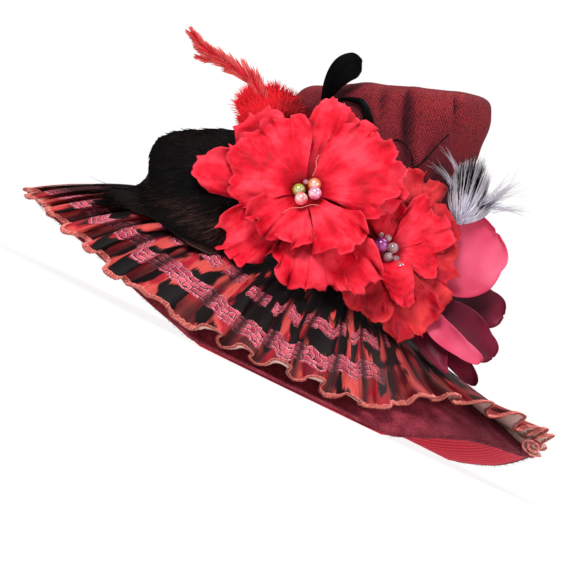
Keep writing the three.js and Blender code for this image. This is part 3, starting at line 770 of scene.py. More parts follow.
def scale_colours(paint, height, strands):
    """Rows of pink scales with dark outlines, a painted glint on each and worn streaks"""
    push = paint.noise(1.0, paint.laid(0.16, 0.2), detail=1, kind="Color")
    flat = paint.node("CombineXYZ", {"X": paint.along, "Y": height}).outputs["Vector"]
    place = paint.stirred_place(flat, push, 5.0)
    colours = {"Color1": rgb(170, 44, 74), "Color2": rgb(226, 100, 122), "Mortar": rgb(*SCALE_OUTLINE)}
    tiles = paint.node("TexBrick", {"Vector": place, **colours, **SCALE_SIZES}).outputs
    # Painted highlight: a shifted copy of the scales lightens one edge of each
    glint = paint.node("TexBrick", {"Vector": paint.moved(place, GLINT_SHIFT), **SCALE_SIZES}).outputs
    pinks = paint.tint(tiles["Color"], (255, 186, 188), glint["Fac"], 0.6)
    pinks = paint.blend(tiles["Fac"], pinks, SCALE_OUTLINE)
    return paint.tint(pinks, (90, 14, 34), paint.band(strands, 0.5, 0.8), 0.5)


def patch_colours(paint, height, strands, ragged):
    """Soft patches of brown, red and coral with feathered ends, and black ones that grow up the cloth"""
    tone = paint.stirred(paint.cloud(0.03, 0.014, 40.0), ragged, 0.08)
    warm = paint.ramp(
        tone, (0.36, (92, 40, 40)), (0.42, (150, 50, 50)), (0.47, (188, 18, 46)),
        (0.51, (222, 84, 80)), (0.58, (222, 84, 80)), (0.64, (120, 14, 34)),
    )
    warm = paint.tint(warm, (60, 12, 18), paint.band(strands, 0.4, 0.75), 0.4)
    spots = paint.stirred(paint.cloud(0.05, 0.026, 60.0, 1.0), ragged, 0.16)
    spots = paint.stirred(spots, strands, 0.16)
    low = paint.band(spots, 0.535, 0.595)
    middle = paint.band(spots, 0.42, 0.48)
    deep = paint.band(spots, 0.3, 0.36)
    cover = paint.chosen(paint.band(height, 38, 44), low, middle)
    cover = paint.chosen(paint.band(height, 72, 84), cover, deep)
    return paint.blend(cover, warm, PRINT_BLACK)


def ruffle_print():
    """Patches with a row of scales near the hem and a broken one higher up, with painted shade towards the
    front, at the back, in the creases and in hollows, a painted highlight on the crests, and a stitched hem"""
    paint = PrintPaint("ruffle_print", roughness=0.62, specular_ior_level=0.18)
    dusk = paint.value("dusk")
    strands = paint.cloud(1.3, 0.05, detail=3)
    ragged = paint.cloud(0.33, 0.06, detail=4)
    height = paint.stirred(paint.up, paint.cloud(0.03, 0.0), 16.0)
    height = paint.stirred(height, paint.chance, 5.0)
    height = paint.plus(height, paint.times(paint.value("front"), FRONT_RISE))
    pinks = scale_colours(paint, height, strands)
    colour = patch_colours(paint, height, strands, ragged)
    first = paint.between(paint.stirred(height, ragged, 3.0), 25.8, 43.0, 0.5)
    first = paint.times(first, paint.band(paint.cloud(0.08, 0.03, 15.0), 0.26, 0.3))
    first = paint.times(first, paint.band(dusk, 0.55, 0.3))
    second = paint.between(paint.stirred(height, ragged, 5.0), 62, 75, 0.6)
    second = paint.times(second, paint.band(paint.cloud(0.03, 0.0, 9.0, 1), 0.44, 0.47))
    colour = paint.blend(first, colour, pinks)
    colour = paint.blend(second, colour, pinks)
    # Painted shade in front, high up and on the ridge
    colour = paint.tint(colour, PRINT_BLACK, paint.value("shade"), 0.93)
    # Painted shade at the back
    colour = paint.tint(colour, (54, 24, 26), dusk, 0.5)
    # Painted shade in the creases between pleats
    crease = paint.calc("MINIMUM", paint.within, paint.minus(1.0, paint.within))
    colour = paint.tint(colour, (14, 2, 6), paint.band(crease, 0.13, 0.0), 0.85)
    # Painted highlight on the pleats' crests
    from_crest = paint.calc("ABSOLUTE", paint.minus(paint.within, 0.52))
    crest = paint.times(paint.band(from_crest, 0.1, 0.0), 0.22)
    colour = paint.blend(crest, colour, (255, 190, 180), "SOFT_LIGHT")
    # Painted shade in hollows
    colour = paint.tint(colour, (20, 2, 6), paint.band(paint.open_air(9), 0.95, 0.35), 0.8)
    colour = paint.blend(paint.band(paint.up, *STITCHED_HEM), colour, (232, 98, 84))
    return paint.finish(colour, paint.bump(paint.noise(1100, detail=2), 0.2, 0.5))


def plain_cloth(name, dark, light, size=40, **settings):
    """Cloth of one colour, a little uneven, with a fine weave"""
    paint = Paint(name, **settings)
    colour = paint.ramp(paint.noise(size, detail=4), (0.3, dark), (0.7, light))
    return paint.finish(colour, paint.bump(paint.noise(1500, detail=2), 0.15, 0.6))


def silk(name, deep, main, bright):
    """Crinkled silk, deeper towards the flower's middle, with painted shade in its creases and a painted
    highlight at its rims
    """
    paint = Paint(
        name, roughness=0.6, specular_ior_level=0.25,
        sheen_weight=0.12, sheen_roughness=0.3, sheen_tint=(255, 90, 90),
    )
    petal = paint.vector("petal")
    out = paint.split(petal)[1]
    streaks = paint.noise(1.0, paint.scaled(petal, 8, 4, 3), detail=4)
    tone = paint.weighted(streaks, 0.25, paint.noise(55, detail=4), 0.75)
    half_deep = tuple((a + b) / 2 for a, b in zip(rgb(*deep), rgb(*main)))
    colour = paint.ramp(tone, (0.36, half_deep), (0.47, main), (0.64, bright))
    # Painted shade in creases and folds
    colour = paint.tint(colour, deep, paint.band(paint.open_air(14), 0.9, 0.3), 0.8)
    colour = paint.tint(colour, deep, paint.band(out, 0.24, 0.02), 0.25)
    # Painted highlight at the rims
    colour = paint.tint(colour, bright, paint.band(out, 0.93, 1.0), 0.5)
    veins = paint.noise(1.0, paint.scaled(petal, 22, 5, 3), detail=4)
    relief = paint.plus(veins, paint.times(paint.noise(1300, detail=2), 0.25))
    relief = paint.plus(relief, paint.times(paint.noise(190, detail=5), 3.4))
    return paint.finish(colour, paint.bump(relief, 0.45, 0.7))


def satin(name, deep, bright):
    """Smooth satin with a soft gloss and a fine weave across the petal, deeper towards the hub"""
    paint = Paint(name, roughness=0.45, specular_ior_level=0.2)
    petal = paint.vector("petal")
    weave = paint.noise(1.0, paint.scaled(petal, 30, 260, 1), detail=2)
    tone = paint.weighted(paint.noise(22, detail=2), 0.75, weave, 0.25)
    colour = paint.ramp(tone, (0.36, deep), (0.62, bright))
    out = paint.calc("FRACT", paint.split(petal)[1])
    colour = paint.tint(colour, deep, paint.band(out, 0.85, 0.35), 0.45)
    return paint.finish(colour, paint.bump(weave, 0.12, 0.5))


def barbs(name, root, middle, tip, shade_colour, roughness, specular):
    """Feather barbs that change colour from root to tip, each a little different, some turned to a darker
    copy of their colour as painted shade
    """
    paint = Paint(name, roughness=roughness, specular_ior_level=specular)
    tone = paint.value("tone")
    place = paint.stirred(paint.value("share"), tone, 0.5)
    colour = paint.ramp(place, (0.1, root), (0.5, middle), (0.95, tip))
    # Painted shade: a low tone turns a barb to its shaded colour
    return paint.finish(paint.blend(tone, shade_colour, colour))


def pearl(name, base, film, light=(255, 226, 222)):
    """An iridescent pearl; film is the thickness of its coat in nanometres"""
    paint = Paint(
        name, roughness=0.12, metallic=0.35, coat_weight=0.8, coat_roughness=0.05,
        thin_film_thickness=film, thin_film_ior=1.45,
    )
    return paint.finish(paint.ramp(paint.noise(130, detail=1), (0.42, base), (0.68, light)))


def crystal():
    paint = Paint(
        "crystal", roughness=0.0, transmission_weight=0.78, ior=1.6, coat_weight=1.0, coat_roughness=0.02,
    )
    colour = paint.ramp(paint.noise(160, detail=1), (0.3, (255, 214, 232)), (0.7, (255, 252, 254)))
    return paint.finish(colour)


MADE_MATERIALS = (
    crown_cloth(),
    lining_cloth(),
    felt_cloth(),
    ruffle_print(),
    plain_cloth("inside_cloth", (44, 8, 16), (84, 18, 30), roughness=0.9),
    plain_cloth("print_reverse", (232, 176, 166), (255, 224, 214), size=90, roughness=0.7),
    plain_cloth("coral_thread", (204, 76, 76), (252, 160, 146), size=700, roughness=0.7),
    plain_cloth("wool_fibres", (112, 30, 46), (190, 90, 102), size=300, roughness=0.9),
    silk("silk_scarlet", (140, 0, 20), (240, 8, 44), (255, 62, 84)),
    silk("silk_crimson", (84, 2, 16), (200, 14, 38), (238, 58, 64)),
    satin("satin_pink", (206, 40, 80), (255, 112, 146)),
    satin("satin_wine", (66, 6, 28), (150, 26, 60)),
    # black_barbs' brown tip colour serves the feather pad's painted sheen
    barbs("black_barbs", (6, 1, 2), (18, 7, 8), (80, 52, 48), (3, 1, 1), 0.5, 0.09),
    barbs("black_quill_barbs", (2, 1, 1), (5, 2, 3), (10, 5, 5), (1, 1, 1), 0.45, 0.06),
    barbs("red_barbs", (240, 0, 26), (255, 4, 34), (255, 46, 58), (104, 26, 30), 0.8, 0.03),
    barbs("grey_barbs", (220, 214, 236), (238, 234, 248), (212, 206, 212), (120, 112, 130), 0.7, 0.15),
    barbs("plume_barbs", (240, 16, 42), (252, 66, 76), (255, 124, 116), (190, 36, 46), 0.7, 0.06),
    pearl("pearl_green", (176, 210, 84), 310),
    pearl("pearl_orange", (255, 160, 70), 240),
    pearl("pearl_violet", (236, 104, 206), 460),
    pearl("pearl_pink", (248, 116, 126), 280),
    pearl("pearl_purple", (96, 14, 92), 430, (170, 84, 160)),
    crystal(),
)
# Blender adds a number after a point to a name that the solid model's materials already have
MATERIALS = {material.name.partition(".")[0]: material for material in MADE_MATERIALS}


# Crown, brim and ruffle

def make_crown():
    columns, rows, top_rows = 168, 66, 10
    angles = around(columns)
    side = crown_surface(angles, down(rows))
    shares = np.linspace(0, 1, top_rows + 1)[1:, None, None] * 0.96
    outer = np.concatenate([side, mix(side[-1:], np.array(CROWN_TOP), shares)])
    slack = waves(outer, 26, 3) * 0.9 + waves(outer, 11, 4) * 0.35
    slack = slack * smooth(0, 0.12, down(len(outer)))
    outer = outer + grid_normals(outer, True) * slack[..., None]
    inner = outer - grid_normals(outer, True) * CROWN_WALL
    climb = np.cumsum(np.linalg.norm(np.diff(outer, axis=0, prepend=outer[:1]), axis=-1).mean(1))
    cloth = stacked(angles * NET_RADIUS, climb[:, None], 0)
    row = np.arange(len(outer))
    is_top = row > rows * NET_TOP_START
    cloth[is_top] = outer[is_top] * (1, 1, 0)
    # crease carries the painted shade of the crown's folds
    crease = np.clip(fold_depth(angles, outer[..., 2]) / 4.5, 0, 1) ** 3
    crease = crease * smooth(rows, rows - 9, row)[:, None]
    from_top = np.abs(climb - climb[is_top][0])[:, None]
    from_wrap = NET_RADIUS * np.minimum(angles, TAU - angles)
    join = np.maximum(smooth(7, 2, from_top), smooth(7, 2, from_wrap) * ~is_top[:, None])
    build = Build()
    build.add_shell(outer, inner, True, True, (0, 1, 0), cloth=cloth, crease=crease, join=join)
    build.piece("crown_shell", ["crown_cloth", "inside_cloth"], ["crown"])


def make_brim():
    angles = around(300)
    t = down(32)
    front = brim_point(angles, t, 0)
    lumps = waves(front, 14, 11) * 0.5 + waves(front, 5, 12) * 0.25
    front[..., 2] += lumps * (front[..., 2] > FELT_REST + 1)
    build = Build()
    build.add_shell(front, brim_point(angles, t, -FELT_WALL), True)
    build.piece("brim_felt", ["felt"], ["brim"])


def make_fuzz():
    """Short wool fibres round the felt's edge and on the part of its top that the ruffle leaves open"""
    rng = np.random.default_rng(21)
    count = 4600
    angles = rng.uniform(0, TAU, count)
    is_edge = rng.random(count) < 0.55
    bare = np.clip(-brim_value("hem", angles), 0, 30) / brim_width(angles)
    t = np.where(is_edge, 1, 1 - rng.random(count) * (bare + 0.02))
    roots = brim_point(angles, t, 0)
    roots[:, 2] += np.where(is_edge, rng.uniform(-FELT_WALL, 0, count), 0)
    lean = np.where(is_edge, 1.0, 0.35)[:, None]
    heading = unit(roots * (1, 1, 0)) * lean + brim_normal(angles, t) * (1.1 - lean)
    heading = unit(heading + rng.normal(size=(count, 3)) * 0.55)
    length = rng.uniform(0.8, 2.6, count)[:, None]
    bend = rng.normal(size=(count, 3)) * 0.5
    paths = np.stack([roots + heading * length * s + bend * s * s for s in (0, 0.5, 1)], 1)
    paths[..., 2] = np.maximum(paths[..., 2], 0.15)
    facing = unit(rng.normal(size=(count, 1, 3)))
    build = Build()
    build.add_strands(paths, facing, 0.2, 0.14, (1, 0.7, 0.15), rng.random(count))
    build.piece("brim_fuzz", ["wool_fibres"])


def make_lining():
    """Ribs run round the brim, and the lining puffs into a soft roll near its edge"""
    angles = around(156)
    t = np.linspace(0, LINING_END, 128)[:, None]
    width = brim_width(angles)
    wander = waves(stacked(t * 90, angles * 120, 0), 60, 31)
    rib = (1 + np.cos(t * width / LINING_RIB * TAU + wander)) / 2
    puff = np.exp(-((t - LINING_PUFF_PLACE) / 0.09) ** 2) * LINING_PUFF
    fade = smooth(0, 0.05, t) * smooth(LINING_END, LINING_END - 0.03, t)
    depth = -FELT_WALL - GAP
    top = brim_point(angles, t, depth)
    low = brim_point(angles, t, depth - LINING_WALL)
    low = low - brim_normal(angles, t) * ((rib * 0.4 + puff) * fade)[..., None]
    low[..., 2] = np.maximum(low[..., 2], 0.02 + (1 - rib) * 0.3 * fade)
    top[..., 2] = np.maximum(top[..., 2], low[..., 2] + 0.5)
    build = Build()
    build.add_shell(top, low, True, cloth=stacked(angles * 150, t * width, 0), rib=rib)
    made = build.piece("brim_lining_cloth", ["lining_cloth"], ["brim_lining"])


def pleat_phase(angles):
    wander = 1.1 * np.sin(5 * angles + 0.7) + 0.8 * np.sin(9 * angles + 2.1) + 0.6 * np.sin(13 * angles + 4)
    return PLEATS * angles + wander


def round_value(angles, count, seed):
    """A smooth random value of about -1 to 1 round the brim, with that many steps"""
    table = np.random.default_rng(seed).uniform(-1, 1, (count, 1))
    return through_rows(table, angles / TAU % 1 * count, True)[..., 0]


def ruffle_grid(columns, rows):
    """The ruffle's upper face from its gathered edge to its hem. Its pleats lie over like knife pleats, and
    flare out where the hem lifts at the back."""
    angles = around(columns)
    phase = pleat_phase(angles)
    calm = mix(1, 0.7, smooth(0.72, 0.95, np.cos(angles)))
    wobble = HEM_WOBBLE * (1 + 0.5 * round_value(angles, 50, 12))
    hem = brim_value("hem", angles) - wobble * np.cos(phase) * calm + round_value(angles, 34, 5) * 1.8
    share = down(rows) ** 0.9
    t = mix(RUFFLE_START, 1 + hem / brim_width(angles), share)
    size = PLEAT_HEIGHT * (1 + 0.3 * round_value(angles, 57, 6)) * calm
    wave = (1 - np.cos(phase)) / 2
    sharp = mix(wave, np.abs(np.sin(phase / 2)), 0.75) ** mix(1.4, 0.9, share)
    pleat = sharp * mix(PLEAT_ROOT, size, np.maximum(t, 0) ** PLEAT_SWELL)
    small = np.sin(phase * 2 + 5 * round_value(angles, 40, 7) + share * 3) * 0.6 * share ** 2
    crease = waves(stacked(phase * 4.4, share * 30, 0), 9, 8) * 0.5 * (0.3 + share)
    is_lifted = smooth(0.25, 0.7, np.cos(angles)) * smooth(0.1, -0.2, np.sin(angles))
    flare = HEM_FLARE * is_lifted * (1 - np.cos(phase)) / 2 * share ** 2.5
    rise = RUFFLE_GAP + pleat + small + brim_lift(angles, t) + crease + flare
    points = brim_point(angles, t, np.maximum(rise, RUFFLE_WALL + 0.5))
    tangent = stacked(-np.sin(angles) * BRIM_HALF_LENGTH, np.cos(angles) * BRIM_HALF_WIDTH, 0)
    sway = PLEAT_SWAY * np.sin(phase * 2) * share ** 2.2
    way = np.clip(0.5 - 1.5 * np.cos(angles), -0.7, 1)
    lean = PLEAT_LEAN * way * (1 + 0.4 * round_value(angles, 42, 9)) * wave * share * calm
    meander = 2.5 * np.sin(share * 5 + 4 * round_value(angles, 20, 10)) * share
    points = points + unit(tangent) * (sway + lean + meander)[..., None]
    return points, angles, share, phase / TAU


def make_ruffle():
    """The pleated cloth. Its fields paint shade on the print in front, high up and on the ridge, and at the
    back.
    """
    front, angles, share, pleat = ruffle_grid(924, 32)
    normals = grid_normals(front, True)
    normals = normals * np.sign(normals[:1, :, 2:].mean())
    back = front - normals * RUFFLE_WALL
    back[..., 2] = np.maximum(back[..., 2], 0.3)
    steps = np.linalg.norm(np.roll(front[-1], -1, 0) - front[-1], axis=1)
    turn = np.concatenate([[0], np.cumsum(steps)[:-1]])
    climb = np.linalg.norm(np.diff(front, axis=0, append=front[-1:]), axis=-1)
    climb = np.cumsum(climb[::-1], axis=0)[::-1]
    ahead, aside = -np.cos(angles), np.sin(angles)
    # Painted shade: high and ridge darken the print in front, dusk darkens it at the back
    high = smooth(0.55, 1.0, ahead) * smooth(0.75, 0.45, share)
    ridge = smooth(0.5, 0.95, ahead) * smooth(-0.42, -0.24, aside) * smooth(0.93, 0.82, share)
    build = Build()
    build.add_shell(
        front, back, True, paints=(0, 1, 0), cloth=stacked(turn, climb, pleat),
        shade=np.maximum(high, 0.93 * ridge), front=smooth(0.72, 0.97, ahead),
        dusk=smooth(0.15, 0.7, -ahead) * smooth(0, -0.3, aside),
    )
    made = build.piece("ruffle_cloth", ["ruffle_print", "print_reverse"], ["ruffle"])
    make_stitches(front, back, normals, steps)


def make_stitches(front, back, normals, steps):
    """Loops of coral thread over the ruffle's hem, and a chain of thread at their feet"""
    rng = np.random.default_rng(40)
    total = steps.sum()
    count = int(total / STITCH_STEP)
    starts = np.concatenate([[0], np.cumsum(steps)])
    columns = np.arange(len(starts))

    def along(row, places):
        ring = np.concatenate([row, row[:1]])
        spots = np.interp(places % total, starts, columns)
        low = np.minimum(spots.astype(int), len(ring) - 2)
        return mix(ring[low], ring[low + 1], (spots - low)[:, None])

    places = np.arange(count) * STITCH_STEP + rng.uniform(-0.3, 0.3, count)
    depth = rng.uniform(2.2, 4.4, count)[:, None]
    hem = along(front[-1], places)
    hem_back = along(back[-1], places)
    inward = unit(along(front[-3], places) - hem)
    up = along(normals[-1], places)
    shift = along(front[-1], places + 0.9) - hem
    paths = np.stack([
        hem + inward * depth + up * 0.05,
        hem + inward * depth * 0.5 + up * 0.35 + shift * 0.3,
        hem - inward * 0.35 + up * 0.2 + shift * 0.5,
        hem_back - inward * 0.35 - up * 0.2 + shift * 0.6,
        hem_back + inward * depth * 0.6 - up * 0.25 + shift,
    ], 1)
    paths[..., 2] = np.maximum(paths[..., 2], 0.3)
    build = Build()
    facing = np.repeat(up[:, None], paths.shape[1], 1)
    widths = rng.uniform(0.7, 1.2, count)
    build.add_strands(paths, facing, widths, 0.6, (0.8, 1, 1.2, 1, 0.8), rng.random(count))
    chain = (hem + inward * depth)[::2]
    build.add_tube(tube(chain, 0.55, 4, True), True, share=0, tone=0.5)
    build.piece("ruffle_overlock", ["coral_thread"])


def make_hem_roll():
    """The end of the ruffle's hem, curled up on itself at the back"""
    rows, columns = 60, 9
    share = np.linspace(0, 1, rows)
    turn = -0.6 - share * ROLL_TURNS * TAU
    reach = mix(*ROLL_REACH, share ** 0.8)
    line = stacked(np.cos(turn) * reach * 1.25, 0, np.sin(turn) * reach * 0.8)
    depth = np.linspace(-ROLL_DEPTH, ROLL_DEPTH, columns)
    narrowing = 0.45 + 0.55 * np.sin(math.pi * share) ** 0.6
    slant = np.array([0.3, 1, 0.25]) * depth[None, :, None]
    front = line[:, None] + slant * narrowing[:, None, None]
    front = front * (1 - 0.03 * depth[None, :, None]) + np.array(ROLL_PLACE)
    climb = lengths_along(line)
    build = Build()
    # Painted shade: the roll gets the full shade of the back
    build.add_shell(
        front, front - grid_normals(front) * RUFFLE_WALL, paints=(1, 0, 0),
        cloth=stacked(depth + 40, climb[:, None] + 30, 0.5), shade=0, dusk=1, front=0,
    )
    made = build.piece("ruffle_hem_roll", ["ruffle_print", "print_reverse"])
    build = Build()
    build.add_tube(tube(front[:, 0], 0.9, 6))
    build.piece("ruffle_roll_overlock", ["coral_thread"])


# Silk flowers. A flower stands at along, up and out in the trim's plane, tilted and turned. Each petal has
# its angle and half angle seen from in front, its reach, how far forward it steps, and how it ripples, falls
# back, curls, tilts, folds and bows.

CUP_ROUND = 25
PETAL_START = 2.5
FLOWERS = (
    {
        "name": "flower_a", "along": 29, "up": 132, "out": 92, "tilt": 12, "turn": 0, "cup": 18, "seed": 600,
        "outer_silk": "silk_scarlet", "inner_silk": "silk_scarlet",
        "outer": [
            {"angle": 8, "half": 25, "reach": 74, "step": -2.0, "ruffle": 3, "fall": 8},
            {"angle": -60, "half": 18, "reach": 92, "step": -1.0, "ruffle": 5, "fall": 2},
            {"angle": -84, "half": 30, "reach": 78, "step": 0.5, "ruffle": 5, "fall": 2},
            {"angle": 220, "half": 24, "reach": 78, "step": -1.5, "ruffle": 4, "fall": 2, "curl": 4},
            {"angle": 168, "half": 17, "reach": 79, "step": 1.0, "ruffle": 2.5, "fall": 6},
            {"angle": 128, "half": 26, "reach": 70, "step": -1.0, "ruffle": 3, "fall": 6},
            {"angle": 54, "half": 36, "reach": 70, "step": 1.0, "ruffle": 2.5, "fall": 8, "wave": 13},
        ],
        "inner": [
            {"angle": 20, "half": 47, "reach": 71, "step": 4.5, "ruffle": 3.5, "tilt": 4, "wave": 26},
            {"angle": -56, "half": 25, "reach": 64, "step": 9.0, "ruffle": 6, "fall": -2, "fold": 7},
            {"angle": 237, "half": 44, "reach": 50, "step": 6.0, "ruffle": 5.5, "fall": -3, "curl": 3},
            {"angle": 142, "half": 62, "reach": 59, "step": 8.0, "ruffle": 3.2, "fall": 2, "tilt": -3,
             "wave": 30},
        ],
    },
    {
        "name": "flower_b", "along": 89, "up": 90, "out": 80, "tilt": 10, "turn": 20, "cup": 12, "seed": 1000,
        "outer_silk": "silk_crimson", "inner_silk": "silk_scarlet",
        "outer": [
            {"angle": 170, "half": 34, "reach": 40, "step": -2, "ruffle": 2},
            {"angle": 112, "half": 32, "reach": 52, "step": -1.5, "ruffle": 3},
            {"angle": -118, "half": 30, "reach": 58, "step": -1.0, "ruffle": 3, "fall": 2, "wave": 30},
            {"angle": -74, "half": 28, "reach": 68, "step": -2.0, "ruffle": 3, "fall": -3, "wave": 30},
            {"angle": -40, "half": 27, "reach": 60, "step": 0.0, "ruffle": 2, "fall": 3, "wave": 30},
            {"angle": -4, "half": 31, "reach": 55, "step": 1.5, "ruffle": 1.6, "fall": 4, "wave": 40},
            {"angle": 28, "half": 27, "reach": 60, "step": 0.0, "ruffle": 2, "fall": 5, "wave": 36},
            {"angle": 62, "half": 28, "reach": 70, "step": 1.5, "ruffle": 2, "fall": 4, "wave": 36},
        ],
        "inner": [
            {"angle": 180, "half": 36, "reach": 29, "step": 3, "ruffle": 2},
            {"angle": 100, "half": 34, "reach": 37, "step": 4, "ruffle": 3},
            {"angle": 36, "half": 40, "reach": 49, "step": 6, "ruffle": 3, "fall": 0, "wave": 30},
            {"angle": -14, "half": 26, "reach": 40, "step": 5, "ruffle": 2.5, "fall": 0, "wave": 30},
            {"angle": -80, "half": 24, "reach": 45, "step": 7, "ruffle": 1.5, "fall": -2, "bow": 9,
             "wave": 20, "is_strap": True},
        ],
    },
)
PETAL_DEFAULTS = {
    "wave": 24, "ruffle": 4, "fall": 3, "curl": 0, "tilt": 0, "fold": 0, "bow": 0, "is_strap": False,
}


def in_flower(flower, right, up, forward):
    """A place right, up and forward of a flower's centre, in its tilted and turned frame"""
    tilt = math.radians(flower["tilt"])
    turn = math.radians(flower["turn"])
    along = right * math.cos(turn) + forward * math.sin(turn)
    facing = forward * math.cos(turn) - right * math.sin(turn)
    height = up * math.cos(tilt) + facing * math.sin(tilt)
    out = facing * math.cos(tilt) - up * math.sin(tilt)
    return in_bunch(flower["along"] + along, flower["up"] + height, flower["out"] + out)


def ruffle_top(points):
    """The height that clears the ruffle's pleats over each place in plan, and 0 where there is no ruffle"""
    x, y = points[..., 0], points[..., 1]
    low = np.zeros(x.shape)
    high = np.full(x.shape, 1.2)
    for halving in range(14):
        t = (low + high) / 2
        centre, half_length, half_width = brim_oval(t)
        is_out = np.hypot((x - centre) / half_length, y / half_width) > 1
        low = np.where(is_out, t, low)
        high = np.where(is_out, high, t)
    angles = np.arctan2(y / half_width, (x - mix(SEAM_CENTRE, 0, low)) / half_length)
    pleat = mix(PLEAT_ROOT, PLEAT_HEIGHT, np.maximum(low, 0) ** PLEAT_SWELL)
    rise = (RUFFLE_GAP + pleat + brim_lift(angles, low) + RUFFLE_WALL) / brim_normal(angles, low)[..., 2]
    top = np.maximum(brim_surface(angles, low)[..., 2], FELT_REST) + rise
    is_over = (low > 0.003) & (low < 1.08)
    return np.where(is_over, top, 0)


def laid_over_ruffle(points, gap):
    """Raises the points that would sink into the ruffle, with a soft bend"""
    points = points.copy()
    above = points[..., 2] - ruffle_top(points) - gap
    soft = 3
    points[..., 2] += np.where(above > 6 * soft, 0, soft * np.log1p(np.exp(-np.clip(above / soft, -60, 60))))
    return points


def petal_relief(arc, distance, v, seed):
    """How far a petal's creases and its larger lumps stand forward"""
    place = stacked(arc * (0.35 + 0.65 * v), distance * 0.3, 0)
    plane = stacked(arc * (0.5 + 0.5 * v), distance, 0)
    patches = smooth(-0.3, 0.9, waves(plane, 20, seed + 6))
    creases = waves(place, 3.4, seed + 2, 14) * 0.12 + waves(place, 5, seed + 3, 12) * 0.4 * patches * v
    creases = creases + waves(place, 4.2, seed + 8, 12) * 0.7 * smooth(0.6, 1, v)
    crumple = np.abs(waves(plane, 11, seed + 9)) * 1.5 + np.abs(waves(plane, 5, seed + 10)) * 0.5
    creases = (creases - crumple * smooth(0.15, 0.5, v)) * (0.25 + 0.75 * v) * smooth(0, 0.12, v)
    return creases, waves(plane, 15, seed + 4) * 1.7 + waves(plane, 32, seed + 7) * 3


def petal_grid(flower, shape, seed):
    """A petal's front face, as a fan of rows from the flower's middle to its ragged rim, and its field"""
    half = math.radians(shape["half"])
    reach = shape["reach"]
    columns = int(np.clip(reach * half * 2 / 1.5, 30, 84))
    rows = int(np.clip(reach / 1.5, 20, 46))
    u = np.linspace(-1, 1, columns)[None, :]
    v = down(rows)
    arc = u * half * reach
    flat = stacked(arc[0], 0, 0)
    rng = np.random.default_rng(seed)
    ragged = waves(flat, 9, seed) * 0.042 + waves(flat, 3, seed + 1) * 0.018
    ragged = ragged + rng.normal(size=(1, columns)) * 0.006
    rim = reach * (1 - 0.2 * np.abs(u) ** 3 - 0.12 * np.abs(u) ** 8 + ragged)
    distance = PETAL_START + (rim - PETAL_START) * v
    turns = max(1.5, reach * half * 2 / shape["wave"])
    phase = math.pi * turns * (u + 0.25 * v * rng.uniform(-1, 1)) + rng.uniform(0, TAU)
    phase = phase + 1.2 * np.sin(u * 3 + rng.uniform(0, TAU))
    ripple = np.sin(phase) + 0.45 * np.sin(2.3 * phase + rng.uniform(0, TAU))
    size = 1.3 * shape["ruffle"] * v ** 5 * (0.7 + 0.5 * np.sin(u * 2.5 + rng.uniform(0, TAU)))
    pinch = (1 - np.abs(np.sin(phase * 0.2 + rng.uniform(0, 3)))) ** 6 * 1.6 * v * (1.2 - v)
    creases, lumps = petal_relief(arc, distance, v, seed)
    lip = waves(flat, 11, seed + 5) * 4.2 * smooth(0.7, 1, v) ** 1.6
    cup = flower["cup"] * (1 - np.exp(-distance / CUP_ROUND))
    fold = shape["fold"] * (1 - np.abs(u)) * v
    bow = shape["bow"] * np.sin(math.pi * np.clip(v, 0, 1)) * (1 - u * u)
    curl = shape["curl"] * smooth(0.72, 1, v) ** 1.5
    step = shape["step"] * (0.15 + 0.85 * smooth(0.04, 0.34, v))
    forward = cup + step + size * ripple + creases
    forward = forward + lumps * v + shape["tilt"] * u * v - shape["fall"] * v ** 3
    forward = forward + fold + bow + curl + lip + pinch
    overhang = 0.5 * size * np.sin(2 * phase) / np.maximum(distance, 12)
    middle = math.radians(shape["angle"])
    angle = middle + half * u * (0.9 + 0.1 * v) + overhang
    distance = distance - np.abs(curl + lip) * 0.5
    right, up = distance * np.cos(angle), distance * np.sin(angle)
    if shape["is_strap"]:
        across = half * reach * 0.68 * u * np.sqrt(np.sin(math.pi * (0.25 + 0.52 * v)))
        forward = forward + 0.45 * np.sin(v * 44 + u * 2 + np.sin(u * 5))
        right = distance * math.cos(middle) - across * math.sin(middle)
        up = distance * math.sin(middle) + across * math.cos(middle)
    grid = in_flower(flower, right, up, forward)
    return laid_over_ruffle(grid, 0.6 + shape["step"] * 0.25), stacked(u * half, v, seed)


def make_petal(name, front, field, materials, node):
    """A petal's closed sheet behind a grid of points; its size is worked out but not used"""
    normals = grid_normals(front)
    if (normals @ np.array([0, -1, 0.3])).mean() < 0:
        normals = -normals
    build = Build()
    build.add_shell(front, front - normals * PETAL_WALL, paints=(0, len(materials) - 1, 0), petal=field)
    made = build.piece(name, materials, [node])
    across = np.linalg.norm(np.diff(front, axis=1), axis=-1).sum(1).max() * MM
    length = np.linalg.norm(np.diff(front, axis=0), axis=-1).sum(0).max() * MM
    cells = np.cross(np.diff(front, axis=1)[:-1], np.diff(front, axis=0)[:, :-1])
    area = float(np.linalg.norm(cells, axis=-1).sum()) * MM * MM
    area = min(max(area, 0.31 * across * length), across * length)


def make_flowers():
    """Two layers of petals in each flower, each petal a sheet of its own"""
    for flower in FLOWERS:
        for layer in ("outer", "inner"):
            node = f"{flower['name']}_{layer}"
            for number, shape in enumerate(flower[layer]):
                grid, field = petal_grid(flower, {**PETAL_DEFAULTS, **shape}, flower["seed"] + number * 7)
                name = f"{node}_petal_{number + 1}"
                make_petal(name, grid, field, [flower[f"{layer}_silk"]], node)


# Beads, by their solids: pearls by colour, and crystals, some of which are cut

BEADS = {
    "bead_a_1": "pearl_green",
    "bead_a_2": "pearl_orange",
    "bead_a_3": "pearl_violet",
    "bead_a_4": "pearl_pink",
    "bead_a_5": "crystal",
    "bead_b_1": "pearl_purple",
    **{f"bead_b_{number}": "crystal" for number in range(2, 8)},
}
CUT_BEADS = ("bead_a_5", "bead_b_2", "bead_b_6")


